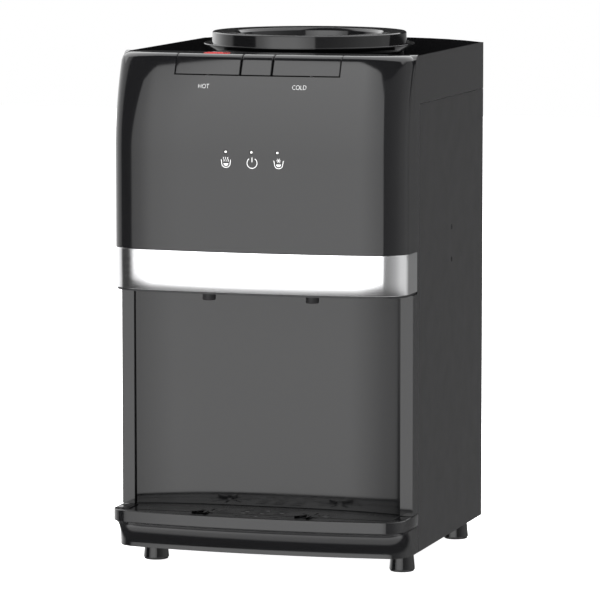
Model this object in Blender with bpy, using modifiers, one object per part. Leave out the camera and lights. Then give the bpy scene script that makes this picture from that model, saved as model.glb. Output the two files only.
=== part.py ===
"""Countertop water dispenser: bottle on top, thermoelectric cooler, hot tank, two push keys.

Units are metres and +Z is up.  The origin is the middle of the footprint, on the surface that
the feet stand on.  The front, with the keys and the drip tray, faces -Y, and +X is to the
right of somebody who looks at the front.  Most depths are written with behind(distance),
counted backwards from the front faces of the two columns beside the cup space.
"""

import math

import bmesh
import bpy
from mathutils import Matrix, Vector

# ---------------------------------------------------------------- driving dimensions
GAP = 0.0003                    # kept between neighbouring pieces
WIDTH = 0.300
DEPTH = 0.3243                  # drip tray front to cabinet rear
HALF_W = WIDTH / 2
FRONT_Y = -DEPTH / 2            # foremost line of the drip tray
REAR_Y = DEPTH / 2
COLUMN_Y = FRONT_Y + 0.0545     # front faces of the columns

FOOT_H = 0.022
TRAY_LOW = 0.0495
TRAY_TOP = 0.061
BAND_LOW = 0.2813
BAND_TOP = 0.3211
SHOULDER_Z = 0.415              # the fascia is upright below this height and leans back above it
PANEL_TOP = 0.4645
DECK_Z = 0.495                  # floor of the recess round the bottle seat
TOP_Z = 0.513
SEAT_TOP = 0.5274

HEAD_Y = COLUMN_Y - 0.0485      # foremost line of the fascia and the chrome band
BOW_R = 0.900                   # plan radius of the bowed front
HEAD_CORNER_R = 0.025
TRAY_CORNER_R = 0.022
LEAN_R = 0.220                  # side view radius of the leaning fascia
ROLL_R = 0.009                  # side view radius of the top front edge
SOFT_CORNER_W = 0.045           # width and depth of the head's corners at the top
SOFT_CORNER_D = 0.021
SOFT_SHARE = 0.55               # share of that softening below the shoulder
SEAM_LAG = 0.0372               # the fascia's rear edge follows its front this far behind
SHELL = 0.0025                  # moulded wall
SHEET = 0.001                   # steel sheet
COLUMN_W = 0.0126

SEAM_Y = COLUMN_Y + 0.003       # rear edge of the fascia on the sides
BAND_END_Y = COLUMN_Y + 0.015
POST_BACK_Y = COLUMN_Y + 0.0231
PANEL_FRONT_Y = COLUMN_Y + 0.0237
BACK_PLATE_Y = COLUMN_Y + 0.2605  # outer face of the rear panel

KEY_INNER_X = 0.0165
KEY_OUTER_X = 0.0840
CAP_HALF = 0.0155
KEY_LOW = 0.4932
KEY_BACK_Y = COLUMN_Y + 0.0100
KEY_AXIS = (COLUMN_Y + 0.009, TOP_Z - 0.0025)   # y and z of the keys' hinge line

TAP_X = 0.053
TAP_Y = COLUMN_Y - 0.018
SEAT_Y = COLUMN_Y + 0.149       # axis of the bottle seat, probe and cold tank
COOLER_Z = 0.385                # height of the cold block, heat sink and fan
HOT_TANK = (-0.060, COLUMN_Y + 0.100)
FOOT_X = 0.1284
FOOT_YS = {"front": COLUMN_Y + 0.0405, "rear": COLUMN_Y + 0.2480}
SWITCH_X = {"hot": -0.095, "cold": -0.060}
SWITCH_Z = 0.150
LAMP_X = {"hot": -0.0263, "power": 0.0, "cold": 0.0263}
LAMP_Z = 0.4195
DRAIN = (-0.060, 0.078)         # x and z of the drain outlet at the rear

FINISHES = {                    # colour, roughness, metallic
    "gloss_black": ((0.012, 0.012, 0.013), 0.10, 0.0),
    "satin_black": ((0.015, 0.015, 0.016), 0.45, 0.0),
    "black_steel": ((0.014, 0.014, 0.015), 0.38, 0.0),
    "chrome": ((0.86, 0.86, 0.87), 0.08, 1.0),
    "stainless": ((0.60, 0.60, 0.60), 0.28, 1.0),
    "aluminium": ((0.78, 0.78, 0.79), 0.35, 1.0),
    "white_plastic": ((0.80, 0.80, 0.78), 0.40, 0.0),
    "red_plastic": ((0.65, 0.02, 0.02), 0.30, 0.0),
    "clear_lens": ((0.90, 0.90, 0.88), 0.15, 0.0),
    "foam": ((0.82, 0.80, 0.74), 0.90, 0.0),
    "board": ((0.03, 0.22, 0.10), 0.50, 0.0),
    "rubber": ((0.020, 0.020, 0.020), 0.70, 0.0),
    "silicone": ((0.75, 0.74, 0.70), 0.55, 0.0),
    "mica": ((0.55, 0.42, 0.25), 0.60, 0.0),
    "ceramic": ((0.85, 0.85, 0.83), 0.50, 0.0),
}


def behind(distance):
    """World y of a point this far behind the columns' front faces."""
    return COLUMN_Y + distance


# ---------------------------------------------------------------- scene and finishes
def empty_scene():
    for obj in list(bpy.data.objects):
        bpy.data.objects.remove(obj, do_unlink=True)


def collection(name):
    found = bpy.data.collections.get(name)
    if found is None:
        found = bpy.data.collections.new(name)
        bpy.context.scene.collection.children.link(found)
    return found


def finish_material(name):
    found = bpy.data.materials.get(name)
    if found is not None:
        return found
    colour, roughness, metallic = FINISHES[name]
    made = bpy.data.materials.new(name)
    made.use_nodes = True
    shader = made.node_tree.nodes["Principled BSDF"]
    shader.inputs["Base Color"].default_value = (*colour, 1.0)
    shader.inputs["Roughness"].default_value = roughness
    shader.inputs["Metallic"].default_value = metallic
    return made


def place(name, data, finish):
    """Object in the parts collection, or among the hidden cutters when finish is None."""
    obj = bpy.data.objects.new(name, data)
    if finish is None:
        collection("cutters").objects.link(obj)
        obj.hide_render = True
        obj.display_type = "WIRE"
    else:
        collection("water_dispenser").objects.link(obj)
        data.materials.append(finish_material(finish))
    return obj


def solid(name, bm, finish):
    bmesh.ops.recalc_face_normals(bm, faces=bm.faces)
    mesh = bpy.data.meshes.new(name)
    bm.to_mesh(mesh)
    bm.free()
    mesh.shade_smooth()
    mesh.set_sharp_from_angle(angle=math.radians(35))
    return place(name, mesh, finish)


# ---------------------------------------------------------------- basic shapes
def box(name, low, high, finish=None):
    low, high = Vector(low), Vector(high)
    bm = bmesh.new()
    bmesh.ops.create_cube(bm, size=1.0)
    bmesh.ops.scale(bm, vec=high - low, verts=bm.verts)
    bmesh.ops.translate(bm, vec=(low + high) / 2, verts=bm.verts)
    return solid(name, bm, finish)


def cylinder(name, radius, start, end, finish=None, segments=24):
    start, end = Vector(start), Vector(end)
    turn = Vector((0, 0, 1)).rotation_difference(end - start).to_matrix().to_4x4()
    bm = bmesh.new()
    bmesh.ops.create_cone(bm, cap_ends=True, segments=segments, radius1=radius, radius2=radius,
                          depth=(end - start).length,
                          matrix=Matrix.Translation((start + end) / 2) @ turn)
    return solid(name, bm, finish)


def in_space(axis, a, b, along):
    """Point of an outline drawn in the plane across an axis, at a place along that axis."""
    return {"X": (along, a, b), "Y": (a, along, b), "Z": (a, b, along)}[axis]


def prism(name, outline, start, end, finish=None, axis="Z"):
    """Flat outline pushed along an axis."""
    bm = bmesh.new()
    face = bm.faces.new([bm.verts.new(in_space(axis, a, b, start)) for a, b in outline])
    pushed = bmesh.ops.extrude_face_region(bm, geom=[face])["geom"]
    moved = [item for item in pushed if isinstance(item, bmesh.types.BMVert)]
    bmesh.ops.translate(bm, vec=in_space(axis, 0, 0, end - start), verts=moved)
    return solid(name, bm, finish)


def loft(name, rings, finish=None):
    """Closed skin over rings of equal point counts, capped at both ends."""
    bm = bmesh.new()
    rows = [[bm.verts.new(point) for point in ring] for ring in rings]
    for low, high in zip(rows, rows[1:]):
        for i in range(len(low)):
            j = (i + 1) % len(low)
            bm.faces.new((low[i], low[j], high[j], high[i]))
    bm.faces.new(rows[0])
    bm.faces.new(rows[-1])
    return solid(name, bm, finish)


def turned(name, profile, centre, finish=None, steps=32, closed=True):
    """Solid of revolution about the vertical line through centre; profile is (radius, height).

    The profile runs down the outer side and back up the inner side, or down from the axis
    and back to it when it isn't closed.
    """
    bm = bmesh.new()
    verts = [bm.verts.new((radius, 0.0, height)) for radius, height in profile]
    for pair in zip(verts, verts[1:]):
        bm.edges.new(pair)
    if closed:
        bm.edges.new((verts[-1], verts[0]))
    mesh = bpy.data.meshes.new(name)
    bm.to_mesh(mesh)
    bm.free()
    obj = place(name, mesh, finish)
    obj.location = centre
    screw = obj.modifiers.new("Turn", "SCREW")
    screw.steps = steps
    screw.render_steps = steps
    screw.use_merge_vertices = True
    screw.merge_threshold = 0.00001
    screw.use_smooth_shade = True
    return obj


def face_rear(obj):
    """Lay a turned piece down, so that its height runs along +Y."""
    obj.rotation_euler = (-math.pi / 2, 0.0, 0.0)
    return obj


def tube(name, points, radius, finish, resolution=2):
    curve = bpy.data.curves.new(name, "CURVE")
    curve.dimensions = "3D"
    curve.bevel_depth = radius
    curve.bevel_resolution = resolution
    curve.use_fill_caps = True
    spline = curve.splines.new("POLY")
    spline.points.add(len(points) - 1)
    for point, spot in zip(spline.points, points):
        point.co = (*spot, 1.0)
    return place(name, curve, finish)


def smooth_route(points, pieces=4):
    """Points along a Catmull-Rom curve through the given ones, straight at both ends."""
    knots = [Vector(point) for point in points]
    knots = [knots[0], (knots[0] + knots[1]) / 2, *knots[1:-1], (knots[-2] + knots[-1]) / 2,
             knots[-1]]
    knots = [2 * knots[0] - knots[1], *knots, 2 * knots[-1] - knots[-2]]
    route = []
    for before, start, end, after in zip(knots, knots[1:], knots[2:], knots[3:]):
        for step in range(pieces):
            t = step / pieces
            route.append(0.5 * (2 * start + (end - before) * t
                                + (2 * before - 5 * start + 4 * end - after) * t ** 2
                                + (3 * start - before - 3 * end + after) * t ** 3))
    return [*route, knots[-2]]


def combine(target, tool, operation):
    modifier = target.modifiers.new(operation.title(), "BOOLEAN")
    modifier.operation = operation
    modifier.object = tool


def cut(target, *tools):
    for tool in tools:
        combine(target, tool, "DIFFERENCE")


def join(target, *tools):
    for tool in tools:
        combine(target, tool, "UNION")


def rotate_about(obj, centre, axis, degrees):
    """Turn an object about a line through centre."""
    turn = Matrix.Rotation(math.radians(degrees), 4, axis)
    spot = Matrix.Translation(centre)
    obj.matrix_world = spot @ turn @ spot.inverted() @ obj.matrix_world


def origin_at(obj, point):
    """Move an object's origin to a joint's axis, leaving its shape where it is."""
    obj.data.transform(Matrix.Translation(-Vector(point)))
    obj.location = point
    return obj


# ---------------------------------------------------------------- shared outlines
def arc(centre, radius, start, end, steps):
    """Points on an arc, both ends included; angles in radians."""
    return [(centre[0] + radius * math.cos(start + (end - start) * i / steps),
             centre[1] + radius * math.sin(start + (end - start) * i / steps))
            for i in range(steps + 1)]


def corner_centre(front_y, half_w, corner_r, bow_r):
    """Centre of the right corner, which touches the side and the bow from inside."""
    corner_x = half_w - corner_r
    return corner_x, front_y + bow_r - math.sqrt((bow_r - corner_r) ** 2 - corner_x ** 2)


def bowed_front(front_y, half_w, corner_r, bow_r):
    """Plan line from the left side, round a corner, along the bow and round to the right side."""
    corner_x, corner_y = corner_centre(front_y, half_w, corner_r, bow_r)
    bow_y = front_y + bow_r
    spread = math.asin(corner_x / (bow_r - corner_r))
    down = 1.5 * math.pi
    left = arc((-corner_x, corner_y), corner_r, math.pi, down - spread, 6)
    bow = arc((0.0, bow_y), bow_r, down - spread, down + spread, 10)
    right = arc((corner_x, corner_y), corner_r, down + spread, 2 * math.pi, 6)
    return left + bow[1:-1] + right


def head_outline(inset, front_y, back_y, z):
    """Closed plan outline of the head at a height, drawn in by inset."""
    half_w = HALF_W - inset - side_roll(z, inset)
    front = bowed_front(front_y, half_w, HEAD_CORNER_R - inset, BOW_R - inset)
    soft = [(x, soft_corner(x, y, front_y, half_w, z)) for x, y in front]
    return [(inset - HALF_W, back_y), *soft, (HALF_W - inset, back_y)]


def side_roll(z, inset):
    """How far the top edge has rolled in from the sides at a height."""
    rise = max(0.0, z - TOP_Z + ROLL_R)
    radius = ROLL_R - inset
    return radius - math.sqrt(max(0.0, radius ** 2 - rise ** 2))


def soft_corner(x, y, front_y, half_w, z):
    """Plan depth at x, where the corners grow wider and softer towards the top."""
    rise = min(1.0, max(0.0, (z - SHOULDER_Z) / (TOP_Z - ROLL_R - SHOULDER_Z)))
    share = SOFT_SHARE + (1 - SOFT_SHARE) * rise ** 2
    across = min(1.0, max(0.0, (abs(x) - half_w + SOFT_CORNER_W) / SOFT_CORNER_W))
    wrap = SOFT_CORNER_D * (1 - math.sqrt(1 - across ** 2))
    soft_y = front_y + BOW_R - math.sqrt(BOW_R ** 2 - x ** 2) + wrap
    return y + share * max(0.0, soft_y - y)


def head_levels(bottom, inset):
    """Heights and foremost lines of the head's side view: upright, leaning, rolled over."""
    lean_y = HEAD_Y + LEAN_R
    roll_z = TOP_Z - ROLL_R
    rise = math.asin((roll_z - SHOULDER_Z) / (LEAN_R - ROLL_R))
    roll_y = lean_y - (LEAN_R - ROLL_R) * math.cos(rise)
    lean = arc((lean_y, SHOULDER_Z), -(LEAN_R - inset), 0.0, -rise, 5)
    roll = arc((roll_y, roll_z), -(ROLL_R - inset), -rise, -math.pi / 2, 4)
    return [(HEAD_Y + inset, bottom), *lean, *roll[1:]]


def head_block(name, inset, bottom, back_shift=0.0, finish=None):
    """The head's volume, drawn in by inset, from a bottom height up to its rolled top edge."""
    rings = []
    for front_y, z in head_levels(bottom, inset):
        back_y = max(SEAM_Y, front_y - inset + SEAM_LAG) + back_shift
        rings.append([(x, y, z) for x, y in head_outline(inset, front_y, back_y, z)])
    return loft(name, rings, finish)


def seam_line(shift):
    """Side view of the fascia's rear edge, moved back by shift."""
    return [(max(SEAM_Y, front_y + SEAM_LAG) + shift, z) for front_y, z in head_levels(0.30, 0.0)]


def splash_depth(x, height_share):
    """How far the splash panel lies behind the columns; height_share is 0 at its foot."""
    edge = 0.0060 - 0.0020 * height_share
    middle = 0.0205 - 0.0025 * height_share
    return edge + (middle - edge) * (1 - abs(x / (HALF_W - COLUMN_W)) ** 3.2)


def tray_outline(inset):
    """Plan of the drip tray: bowed front, cheeks' notches, and a rear edge like the panel's."""
    sizes = (FRONT_Y + inset, HALF_W - inset, TRAY_CORNER_R - inset, BOW_R - inset)
    body_x = HALF_W - COLUMN_W - 0.0006 - inset
    notch_y = behind(-0.0232) - inset
    rear_shift = -0.0020 - inset
    corner_x, corner_y = corner_centre(*sizes)
    wing_x = corner_x + math.sqrt(sizes[2] ** 2 - (corner_y - notch_y) ** 2)
    front = [point for point in bowed_front(*sizes) if point[1] < notch_y - 0.0002]
    rear = [(x, behind(splash_depth(x, 0.0)) + rear_shift)
            for x in (body_x * (1 - 2 * i / 14) for i in range(15))]
    return [(-body_x, notch_y), (-wing_x, notch_y), *front, (wing_x, notch_y),
            (body_x, notch_y), *rear]


# ---------------------------------------------------------------- housing
def main_frame():
    """Top cover with its recess, and the two front columns, in one moulding."""
    inner = HALF_W - SHELL
    frame = box("main_frame", (-HALF_W, behind(0.0033), PANEL_TOP + GAP),
                (HALF_W, REAR_Y, TOP_Z - 0.001), "gloss_black")
    cut(frame,
        box("frame_under", (-inner, behind(-0.01), PANEL_TOP - 0.01),
            (inner, REAR_Y - SHELL, DECK_Z - SHELL)),
        box("frame_recess", (-inner, behind(0.0215), DECK_Z),
            (inner, REAR_Y - SHELL, TOP_Z + 0.01)),
        cylinder("frame_seat_hole", 0.0935, (0, SEAT_Y, DECK_Z - 0.01), (0, SEAT_Y, DECK_Z + 0.01),
                 segments=48),
        box("frame_key_room", (-KEY_OUTER_X - 0.0010, behind(-0.01), DECK_Z - 0.01),
            (KEY_OUTER_X + 0.0010, KEY_BACK_Y + 0.0022, TOP_Z)))
    rim = [(HALF_W * (i / 8 - 1), TOP_Z - 0.0012 + 0.004 * (1 - abs(i / 8 - 1) ** 4))
           for i in range(17)]
    join(frame, prism("frame_rear_rim", [(HALF_W, 0.505), (-HALF_W, 0.505), *rim],
                      REAR_Y - SHELL, REAR_Y, axis="Y"))
    for side, name in ((-1, "left"), (1, "right")):
        join(frame, column(side, name))
    cut(frame, prism("frame_head_room", [(-0.2, 0.30), *seam_line(GAP), (-0.2, TOP_Z)],
                     -HALF_W - 0.01, HALF_W + 0.01, axis="X"))


def column(side, name):
    """One front column: a channel that opens to the rear, notched for the head's shells."""
    outer_x, inner_x = side * HALF_W, side * (HALF_W - COLUMN_W)
    post = box(f"frame_{name}_column", (min(outer_x, inner_x), COLUMN_Y, TRAY_TOP + GAP),
               (max(outer_x, inner_x), POST_BACK_Y, DECK_Z - 0.001))
    wide = HALF_W + 0.01
    cut(post,
        box(f"{name}_band_notch", (-wide, behind(-0.01), BAND_LOW - 0.0024),
            (wide, BAND_END_Y + GAP, BAND_TOP + GAP)),
        box(f"{name}_fascia_notch", (-wide, behind(-0.01), BAND_TOP),
            (wide, SEAM_Y + GAP, TOP_Z)),
        box(f"{name}_channel", (min(side * 0.1399, side * 0.1475), behind(0.006), TRAY_TOP + 0.003),
            (max(side * 0.1399, side * 0.1475), behind(0.03), DECK_Z - SHELL)))
    return post


def upper_fascia():
    fascia = head_block("upper_fascia", 0.0, BAND_TOP + GAP, finish="gloss_black")
    hollow = head_block("fascia_hollow", SHELL, 0.30, back_shift=0.02)
    notch = key_notch()
    cut(fascia, hollow, notch)
    for name, x in LAMP_X.items():
        cut(fascia, cylinder(f"lamp_hole_{name}", 0.0019, (x, HEAD_Y - 0.01, LAMP_Z),
                             (x, HEAD_Y + 0.01, LAMP_Z), segments=12))
    return fascia


def key_notch():
    """Cutter for the keys' opening; its sloping sill follows their swing, so that they clear."""
    low = KEY_LOW - 0.0006
    end = KEY_OUTER_X + 0.0006
    rings = []
    for i in range(15):
        x = end * (i / 7 - 1)
        edge_y = key_edge_y(x) + 0.0001
        slope_y, slope_z = key_swing(edge_y, 0.0094)
        outline = [(-0.2, low), (edge_y, low), (edge_y + slope_y, low + slope_z),
                   (KEY_BACK_Y + 0.0004, low + slope_z), (KEY_BACK_Y + 0.0004, 0.53),
                   (-0.2, 0.53)]
        rings.append([(x, y, z) for y, z in outline])
    return loft("fascia_key_notch", rings)


def key_edge_y(x):
    """Front face of the head at the keys' lower edge."""
    lean = LEAN_R - math.sqrt(LEAN_R ** 2 - (KEY_LOW - SHOULDER_Z) ** 2)
    return HEAD_Y + lean + BOW_R - math.sqrt(BOW_R ** 2 - x ** 2)


def key_swing(edge_y, length):
    """Step of this length along the way that a point of a key's lower edge starts to move."""
    return Vector((KEY_AXIS[1] - KEY_LOW, edge_y - KEY_AXIS[0])).normalized() * length


def key_block(name, low_x, high_x, finish):
    """Cap that carries on the head's front and top, hollow from below."""
    key = head_block(name, 0.0, 0.30, back_shift=0.02, finish=finish)
    combine(key, box(f"{name}_outline", (low_x, -0.2, KEY_LOW), (high_x, KEY_BACK_Y, 0.53)),
            "INTERSECT")
    hollow = head_block(f"{name}_inside", 0.0045, 0.30, back_shift=0.02)
    combine(hollow, box(f"{name}_inside_outline", (low_x + 0.002, -0.2, 0.46),
                        (high_x - 0.002, KEY_BACK_Y - 0.002, 0.53)), "INTERSECT")
    cut(key, hollow)
    return key


def keys():
    for name, side in (("hot", -1), ("cold", 1)):
        low_x, high_x = sorted((side * KEY_INNER_X, side * KEY_OUTER_X))
        key = key_block(f"{name}_key", low_x, high_x, "gloss_black")
        if name == "hot":
            cut(key, box("lock_slot", (-0.0606, behind(-0.0135), TOP_Z - 0.0025),
                         (-0.0344, behind(0.0030), TOP_Z + 0.01)))
        origin_at(key, (side * TAP_X, *KEY_AXIS))
    key_block("centre_cap", -CAP_HALF, CAP_HALF, "gloss_black")
    lock = box("child_lock", (-0.0600, behind(-0.0130), TOP_Z - 0.0022),
               (-0.0350, behind(-0.0040), TOP_Z + 0.0012), "red_plastic")
    lock.modifiers.new("Edges", "BEVEL").width = 0.0004


def chrome_band():
    outer = head_outline(0.0, HEAD_Y, BAND_END_Y, BAND_LOW)
    inner = head_outline(0.002, HEAD_Y + 0.002, BAND_END_Y, BAND_LOW)
    prism("chrome_band", outer + inner[::-1], BAND_LOW, BAND_TOP, "chrome")


def head_floor():
    """Plate that closes the head from below and carries the taps."""
    floor = prism("head_floor", head_outline(0.0012, HEAD_Y + 0.0012, BAND_END_Y, BAND_LOW),
                  BAND_LOW - 0.0021, BAND_LOW - GAP, "satin_black")
    for side in (-1, 1):
        cut(floor, cylinder(f"tap_hole_{side}", 0.0070, (side * TAP_X, TAP_Y, 0.27),
                            (side * TAP_X, TAP_Y, 0.29)))


def splash_panel():
    """Curved glossy sheet behind the cup space, deeper at its foot."""
    half_w = HALF_W - COLUMN_W - GAP
    top = BAND_LOW - 0.0024
    foot = TRAY_LOW + GAP
    rings = []
    for height_share in (0.0, 0.5, 1.0):
        z = foot + (top - foot) * height_share
        front = [(x, behind(splash_depth(x, height_share)), z)
                 for x in (half_w * (1 - 2 * i / 20) for i in range(21))]
        back = [(x, y + SHELL, z) for x, y, z in reversed(front)]
        rings.append(front + back)
    loft("splash_panel", rings, "gloss_black")


def base_skirt():
    """Front base moulding: a scooped skirt, with a cheek at each side of the drip tray."""
    curve = skirt_curve()
    skirt = skirt_block("base_skirt", curve, 0.0, "gloss_black")
    inner = [(depth, z) for depth, z in curve if z < TRAY_LOW - 0.0035]
    open_foot = (curve[-1][0], FOOT_H - 0.005)
    cut(skirt, skirt_block("skirt_hollow", [*inner, open_foot], 0.003, None))
    for side, name in ((-1, "left"), (1, "right")):
        low_x, high_x = sorted((side * (HALF_W - COLUMN_W), side * HALF_W))
        join(skirt, box(f"skirt_{name}_cheek", (low_x, behind(-0.0226), TRAY_LOW - 0.002),
                        (high_x, POST_BACK_Y, TRAY_TOP)))


def skirt_curve():
    """Side view of the skirt as (set-back from the tray's front, height), a Bezier curve."""
    knots = [(0.0015, TRAY_LOW - GAP), (0.0130, 0.0470), (0.0215, 0.0400), (0.0205, FOOT_H)]
    curve = []
    for i in range(8):
        t = i / 7
        share = [(1 - t) ** 3, 3 * t * (1 - t) ** 2, 3 * t ** 2 * (1 - t), t ** 3]
        curve.append(tuple(sum(part * knot[k] for part, knot in zip(share, knots))
                           for k in (0, 1)))
    return curve


def skirt_block(name, curve, inset, finish):
    """Stack of bowed outlines, set back from the tray's front along the curve."""
    rings = []
    for depth, z in curve:
        front = bowed_front(FRONT_Y + depth + inset, HALF_W - inset, TRAY_CORNER_R - inset,
                            BOW_R - inset)
        back_y = POST_BACK_Y - inset
        rings.append([(x, y, z) for x, y in
                      [(inset - HALF_W, back_y), *front, (HALF_W - inset, back_y)]])
    return loft(name, rings, finish)


def base_pan():
    """Moulded floor of the cabinet, open at the top, with air slots."""
    half_w = HALF_W - SHEET - GAP
    low_y, high_y = behind(0.0251), behind(0.2585)
    pan = box("base_pan", (-half_w, low_y, FOOT_H + GAP), (half_w, high_y, 0.045), "satin_black")
    cut(pan, box("pan_hollow", (SHELL - half_w, low_y + SHELL, FOOT_H + 0.0033),
                 (half_w - SHELL, high_y - SHELL, 0.05)))
    for i in range(6):
        x = -0.05 + 0.02 * i
        cut(pan, box(f"pan_slot_{i}", (x - 0.003, behind(0.12), 0.01),
                     (x + 0.003, behind(0.20), 0.03)))


def feet():
    profile = [(0.0, FOOT_H), (0.0105, FOOT_H), (0.0110, FOOT_H - 0.0008),
               (0.0130, 0.0010), (0.0122, 0.0), (0.0, 0.0)]
    for end, y in FOOT_YS.items():
        for side, x in (("left", -FOOT_X), ("right", FOOT_X)):
            turned(f"foot_{end}_{side}", profile, (x, y, 0.0), "gloss_black", steps=16,
                   closed=False)


def side_panels():
    """Folded steel sheets with a short return at the front and the rear."""
    mid = HALF_W - SHEET
    for name, side in (("left", -1), ("right", 1)):
        outer = [(0.1420, PANEL_FRONT_Y), (HALF_W, PANEL_FRONT_Y), (HALF_W, REAR_Y),
                 (0.1375, REAR_Y)]
        inner = [(0.1375, REAR_Y - SHEET), (mid, REAR_Y - SHEET), (mid, PANEL_FRONT_Y + SHEET),
                 (0.1420, PANEL_FRONT_Y + SHEET)]
        panel = prism(f"side_panel_{name}", [(side * x, y) for x, y in outer + inner],
                      FOOT_H - 0.0001, PANEL_TOP, "black_steel")
        for z in (0.3330, 0.3005):
            cut(panel, cylinder(f"{name}_screw_hole_{z}", 0.0027,
                                (side * (HALF_W - 0.01), behind(0.1455), z),
                                (side * (HALF_W + 0.01), behind(0.1455), z), segments=12))


def rear_panel():
    """Shallow sheet tray that closes the rear, with its fan opening, slots and cut-outs."""
    half_w = HALF_W - SHEET - GAP
    lip_y = behind(0.2680)
    face = BACK_PLATE_Y
    outline = [(-half_w, lip_y), (-half_w, face - 0.0012), (half_w, face - 0.0012),
               (half_w, lip_y), (half_w - 0.0012, lip_y), (half_w - 0.0012, face),
               (0.0012 - half_w, face), (0.0012 - half_w, lip_y)]
    panel = prism("rear_panel", outline, FOOT_H + 0.0010, PANEL_TOP - 0.0005, "black_steel")
    front, rear = face - 0.01, face + 0.003
    cut(panel, cylinder("fan_opening", 0.0430, (0, front, COOLER_Z), (0, rear, COOLER_Z)),
        cylinder("gland_hole", 0.0078, (0.095, front, DRAIN[1]), (0.095, rear, DRAIN[1])),
        cylinder("drain_hole", 0.0083, (DRAIN[0], front, DRAIN[1]), (DRAIN[0], rear, DRAIN[1])))
    for name, x in SWITCH_X.items():
        cut(panel, box(f"{name}_switch_hole", (x - 0.0064, front, SWITCH_Z - 0.0099),
                       (x + 0.0064, rear, SWITCH_Z + 0.0099)))
    for row in range(7):
        z = 0.205 + 0.012 * row
        for side in (-1, 1):
            cut(panel, box(f"rear_slot_{row}_{side}", (side * 0.045 - 0.030, front, z),
                           (side * 0.045 + 0.030, rear, z + 0.005)))


# ---------------------------------------------------------------- bottle seat and water way
def bottle_seat():
    outer = [(0.0762, 0.5268), (0.0945, SEAT_TOP), (0.0970, SEAT_TOP), (0.0980, 0.5264),
             (0.0984, 0.5122), (0.1060, 0.5160),
             (0.1064, 0.5148), (0.0966, 0.5090), (0.0962, DECK_Z + GAP), (0.0928, DECK_Z + GAP),
             (0.0924, 0.4860), (0.0900, 0.4845)]
    inner = [(0.0895, 0.5070), (0.0760, 0.5105), (0.0700, 0.4935), (0.0560, 0.4790),
             (0.0330, 0.4690), (0.0300, 0.4690), (0.0545, 0.4825), (0.0675, 0.4960),
             (0.0738, 0.5240)]
    turned("bottle_seat", outer + inner, (0, SEAT_Y, 0), "gloss_black", steps=36)
    probe = turned("probe", [(0.0, 0.5115), (0.0055, 0.5098), (0.0095, 0.5062), (0.0120, 0.4990),
                             (0.0125, 0.4745), (0.0290, 0.4745), (0.0290, 0.4715),
                             (0.0115, 0.4715), (0.0115, 0.4560), (0.0080, 0.4560),
                             (0.0080, 0.4960), (0.0, 0.5010)],
                   (0, SEAT_Y, 0), "white_plastic", steps=16, closed=False)
    for turn in (0, 90):
        window = box(f"probe_window_{turn}", (-0.02, SEAT_Y - 0.003, 0.4850),
                     (0.02, SEAT_Y + 0.003, 0.4930))
        rotate_about(window, (0, SEAT_Y, 0), "Z", turn)
        cut(probe, window)
    turned("tank_lid", [(0.0335, 0.4685), (0.0335, 0.4545), (0.0560, 0.4545), (0.0560, 0.4503),
                        (0.0300, 0.4503), (0.0300, 0.4685)], (0, SEAT_Y, 0), "white_plastic")


def cold_side():
    """Cold tank in its foam, on a shelf, with the block, module, sink and fan behind it."""
    tank = turned("cold_tank", [(0.0, 0.3105), (0.0465, 0.3105), (0.0465, 0.4500),
                                (0.0480, 0.4500), (0.0480, 0.3090), (0.0, 0.3090)],
                  (0, SEAT_Y, 0), "stainless", closed=False)
    outlet = (0.0, SEAT_Y - 0.0640, 0.3250)
    join(tank, cylinder("tank_front_outlet", 0.0040, (0, SEAT_Y - 0.0470, 0.3250), outlet,
                        segments=12),
         cylinder("tank_bottom_outlet", 0.0040, (0, SEAT_Y, 0.3100), (0, SEAT_Y, 0.2850),
                  segments=12))
    foam = turned("cold_insulation", [(0.0600, 0.4495), (0.0600, 0.2965), (0.0060, 0.2965),
                                      (0.0060, 0.3085), (0.0484, 0.3085), (0.0484, 0.4495)],
                  (0, SEAT_Y, 0), "foam")
    cut(foam, cylinder("foam_outlet_hole", 0.0050, (0, SEAT_Y - 0.0400, 0.3250),
                       (0, SEAT_Y - 0.0700, 0.3250), segments=12),
        box("foam_block_window", (-0.0204, SEAT_Y + 0.0300, COOLER_Z - 0.0204),
            (0.0204, SEAT_Y + 0.0700, COOLER_Z + 0.0204)))
    shelf_x = HALF_W - SHEET - 0.0010
    lip, low = 0.3420, 0.2945
    outline = [(-shelf_x, lip), (-shelf_x, low), (shelf_x, low), (shelf_x, lip),
               (shelf_x - 0.0015, lip), (shelf_x - 0.0015, low + 0.0015),
               (0.0015 - shelf_x, low + 0.0015), (0.0015 - shelf_x, lip)]
    shelf = prism("tank_shelf", outline, behind(0.085), behind(0.205), "stainless", axis="Y")
    cut(shelf, cylinder("shelf_hole", 0.0060, (0, SEAT_Y, 0.28), (0, SEAT_Y, 0.30), segments=12))


def cooler():
    low, high = COOLER_Z - 0.020, COOLER_Z + 0.020
    block = box("cold_block", (-0.020, SEAT_Y + 0.0400, low), (0.020, SEAT_Y + 0.0612, high),
                "aluminium")
    cut(block, cylinder("block_seat", 0.0484, (0, SEAT_Y, 0.35), (0, SEAT_Y, 0.42), segments=32))
    box("peltier_module", (-0.020, SEAT_Y + 0.0615, low), (0.020, SEAT_Y + 0.0652, high),
        "ceramic")
    root_y, fin_y, base_y = SEAT_Y + 0.0700, SEAT_Y + 0.0890, SEAT_Y + 0.0655
    fin, pitch = 0.0015, (0.100 - 0.0015) / 11
    comb = [(0.050, base_y), (-0.050, base_y)]
    for i in range(12):
        left = pitch * i - 0.050
        comb += [(left, root_y), (left, fin_y), (left + fin, fin_y), (left + fin, root_y)]
    prism("heat_sink", comb, COOLER_Z - 0.050, COOLER_Z + 0.050, "aluminium")
    fan()


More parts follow.
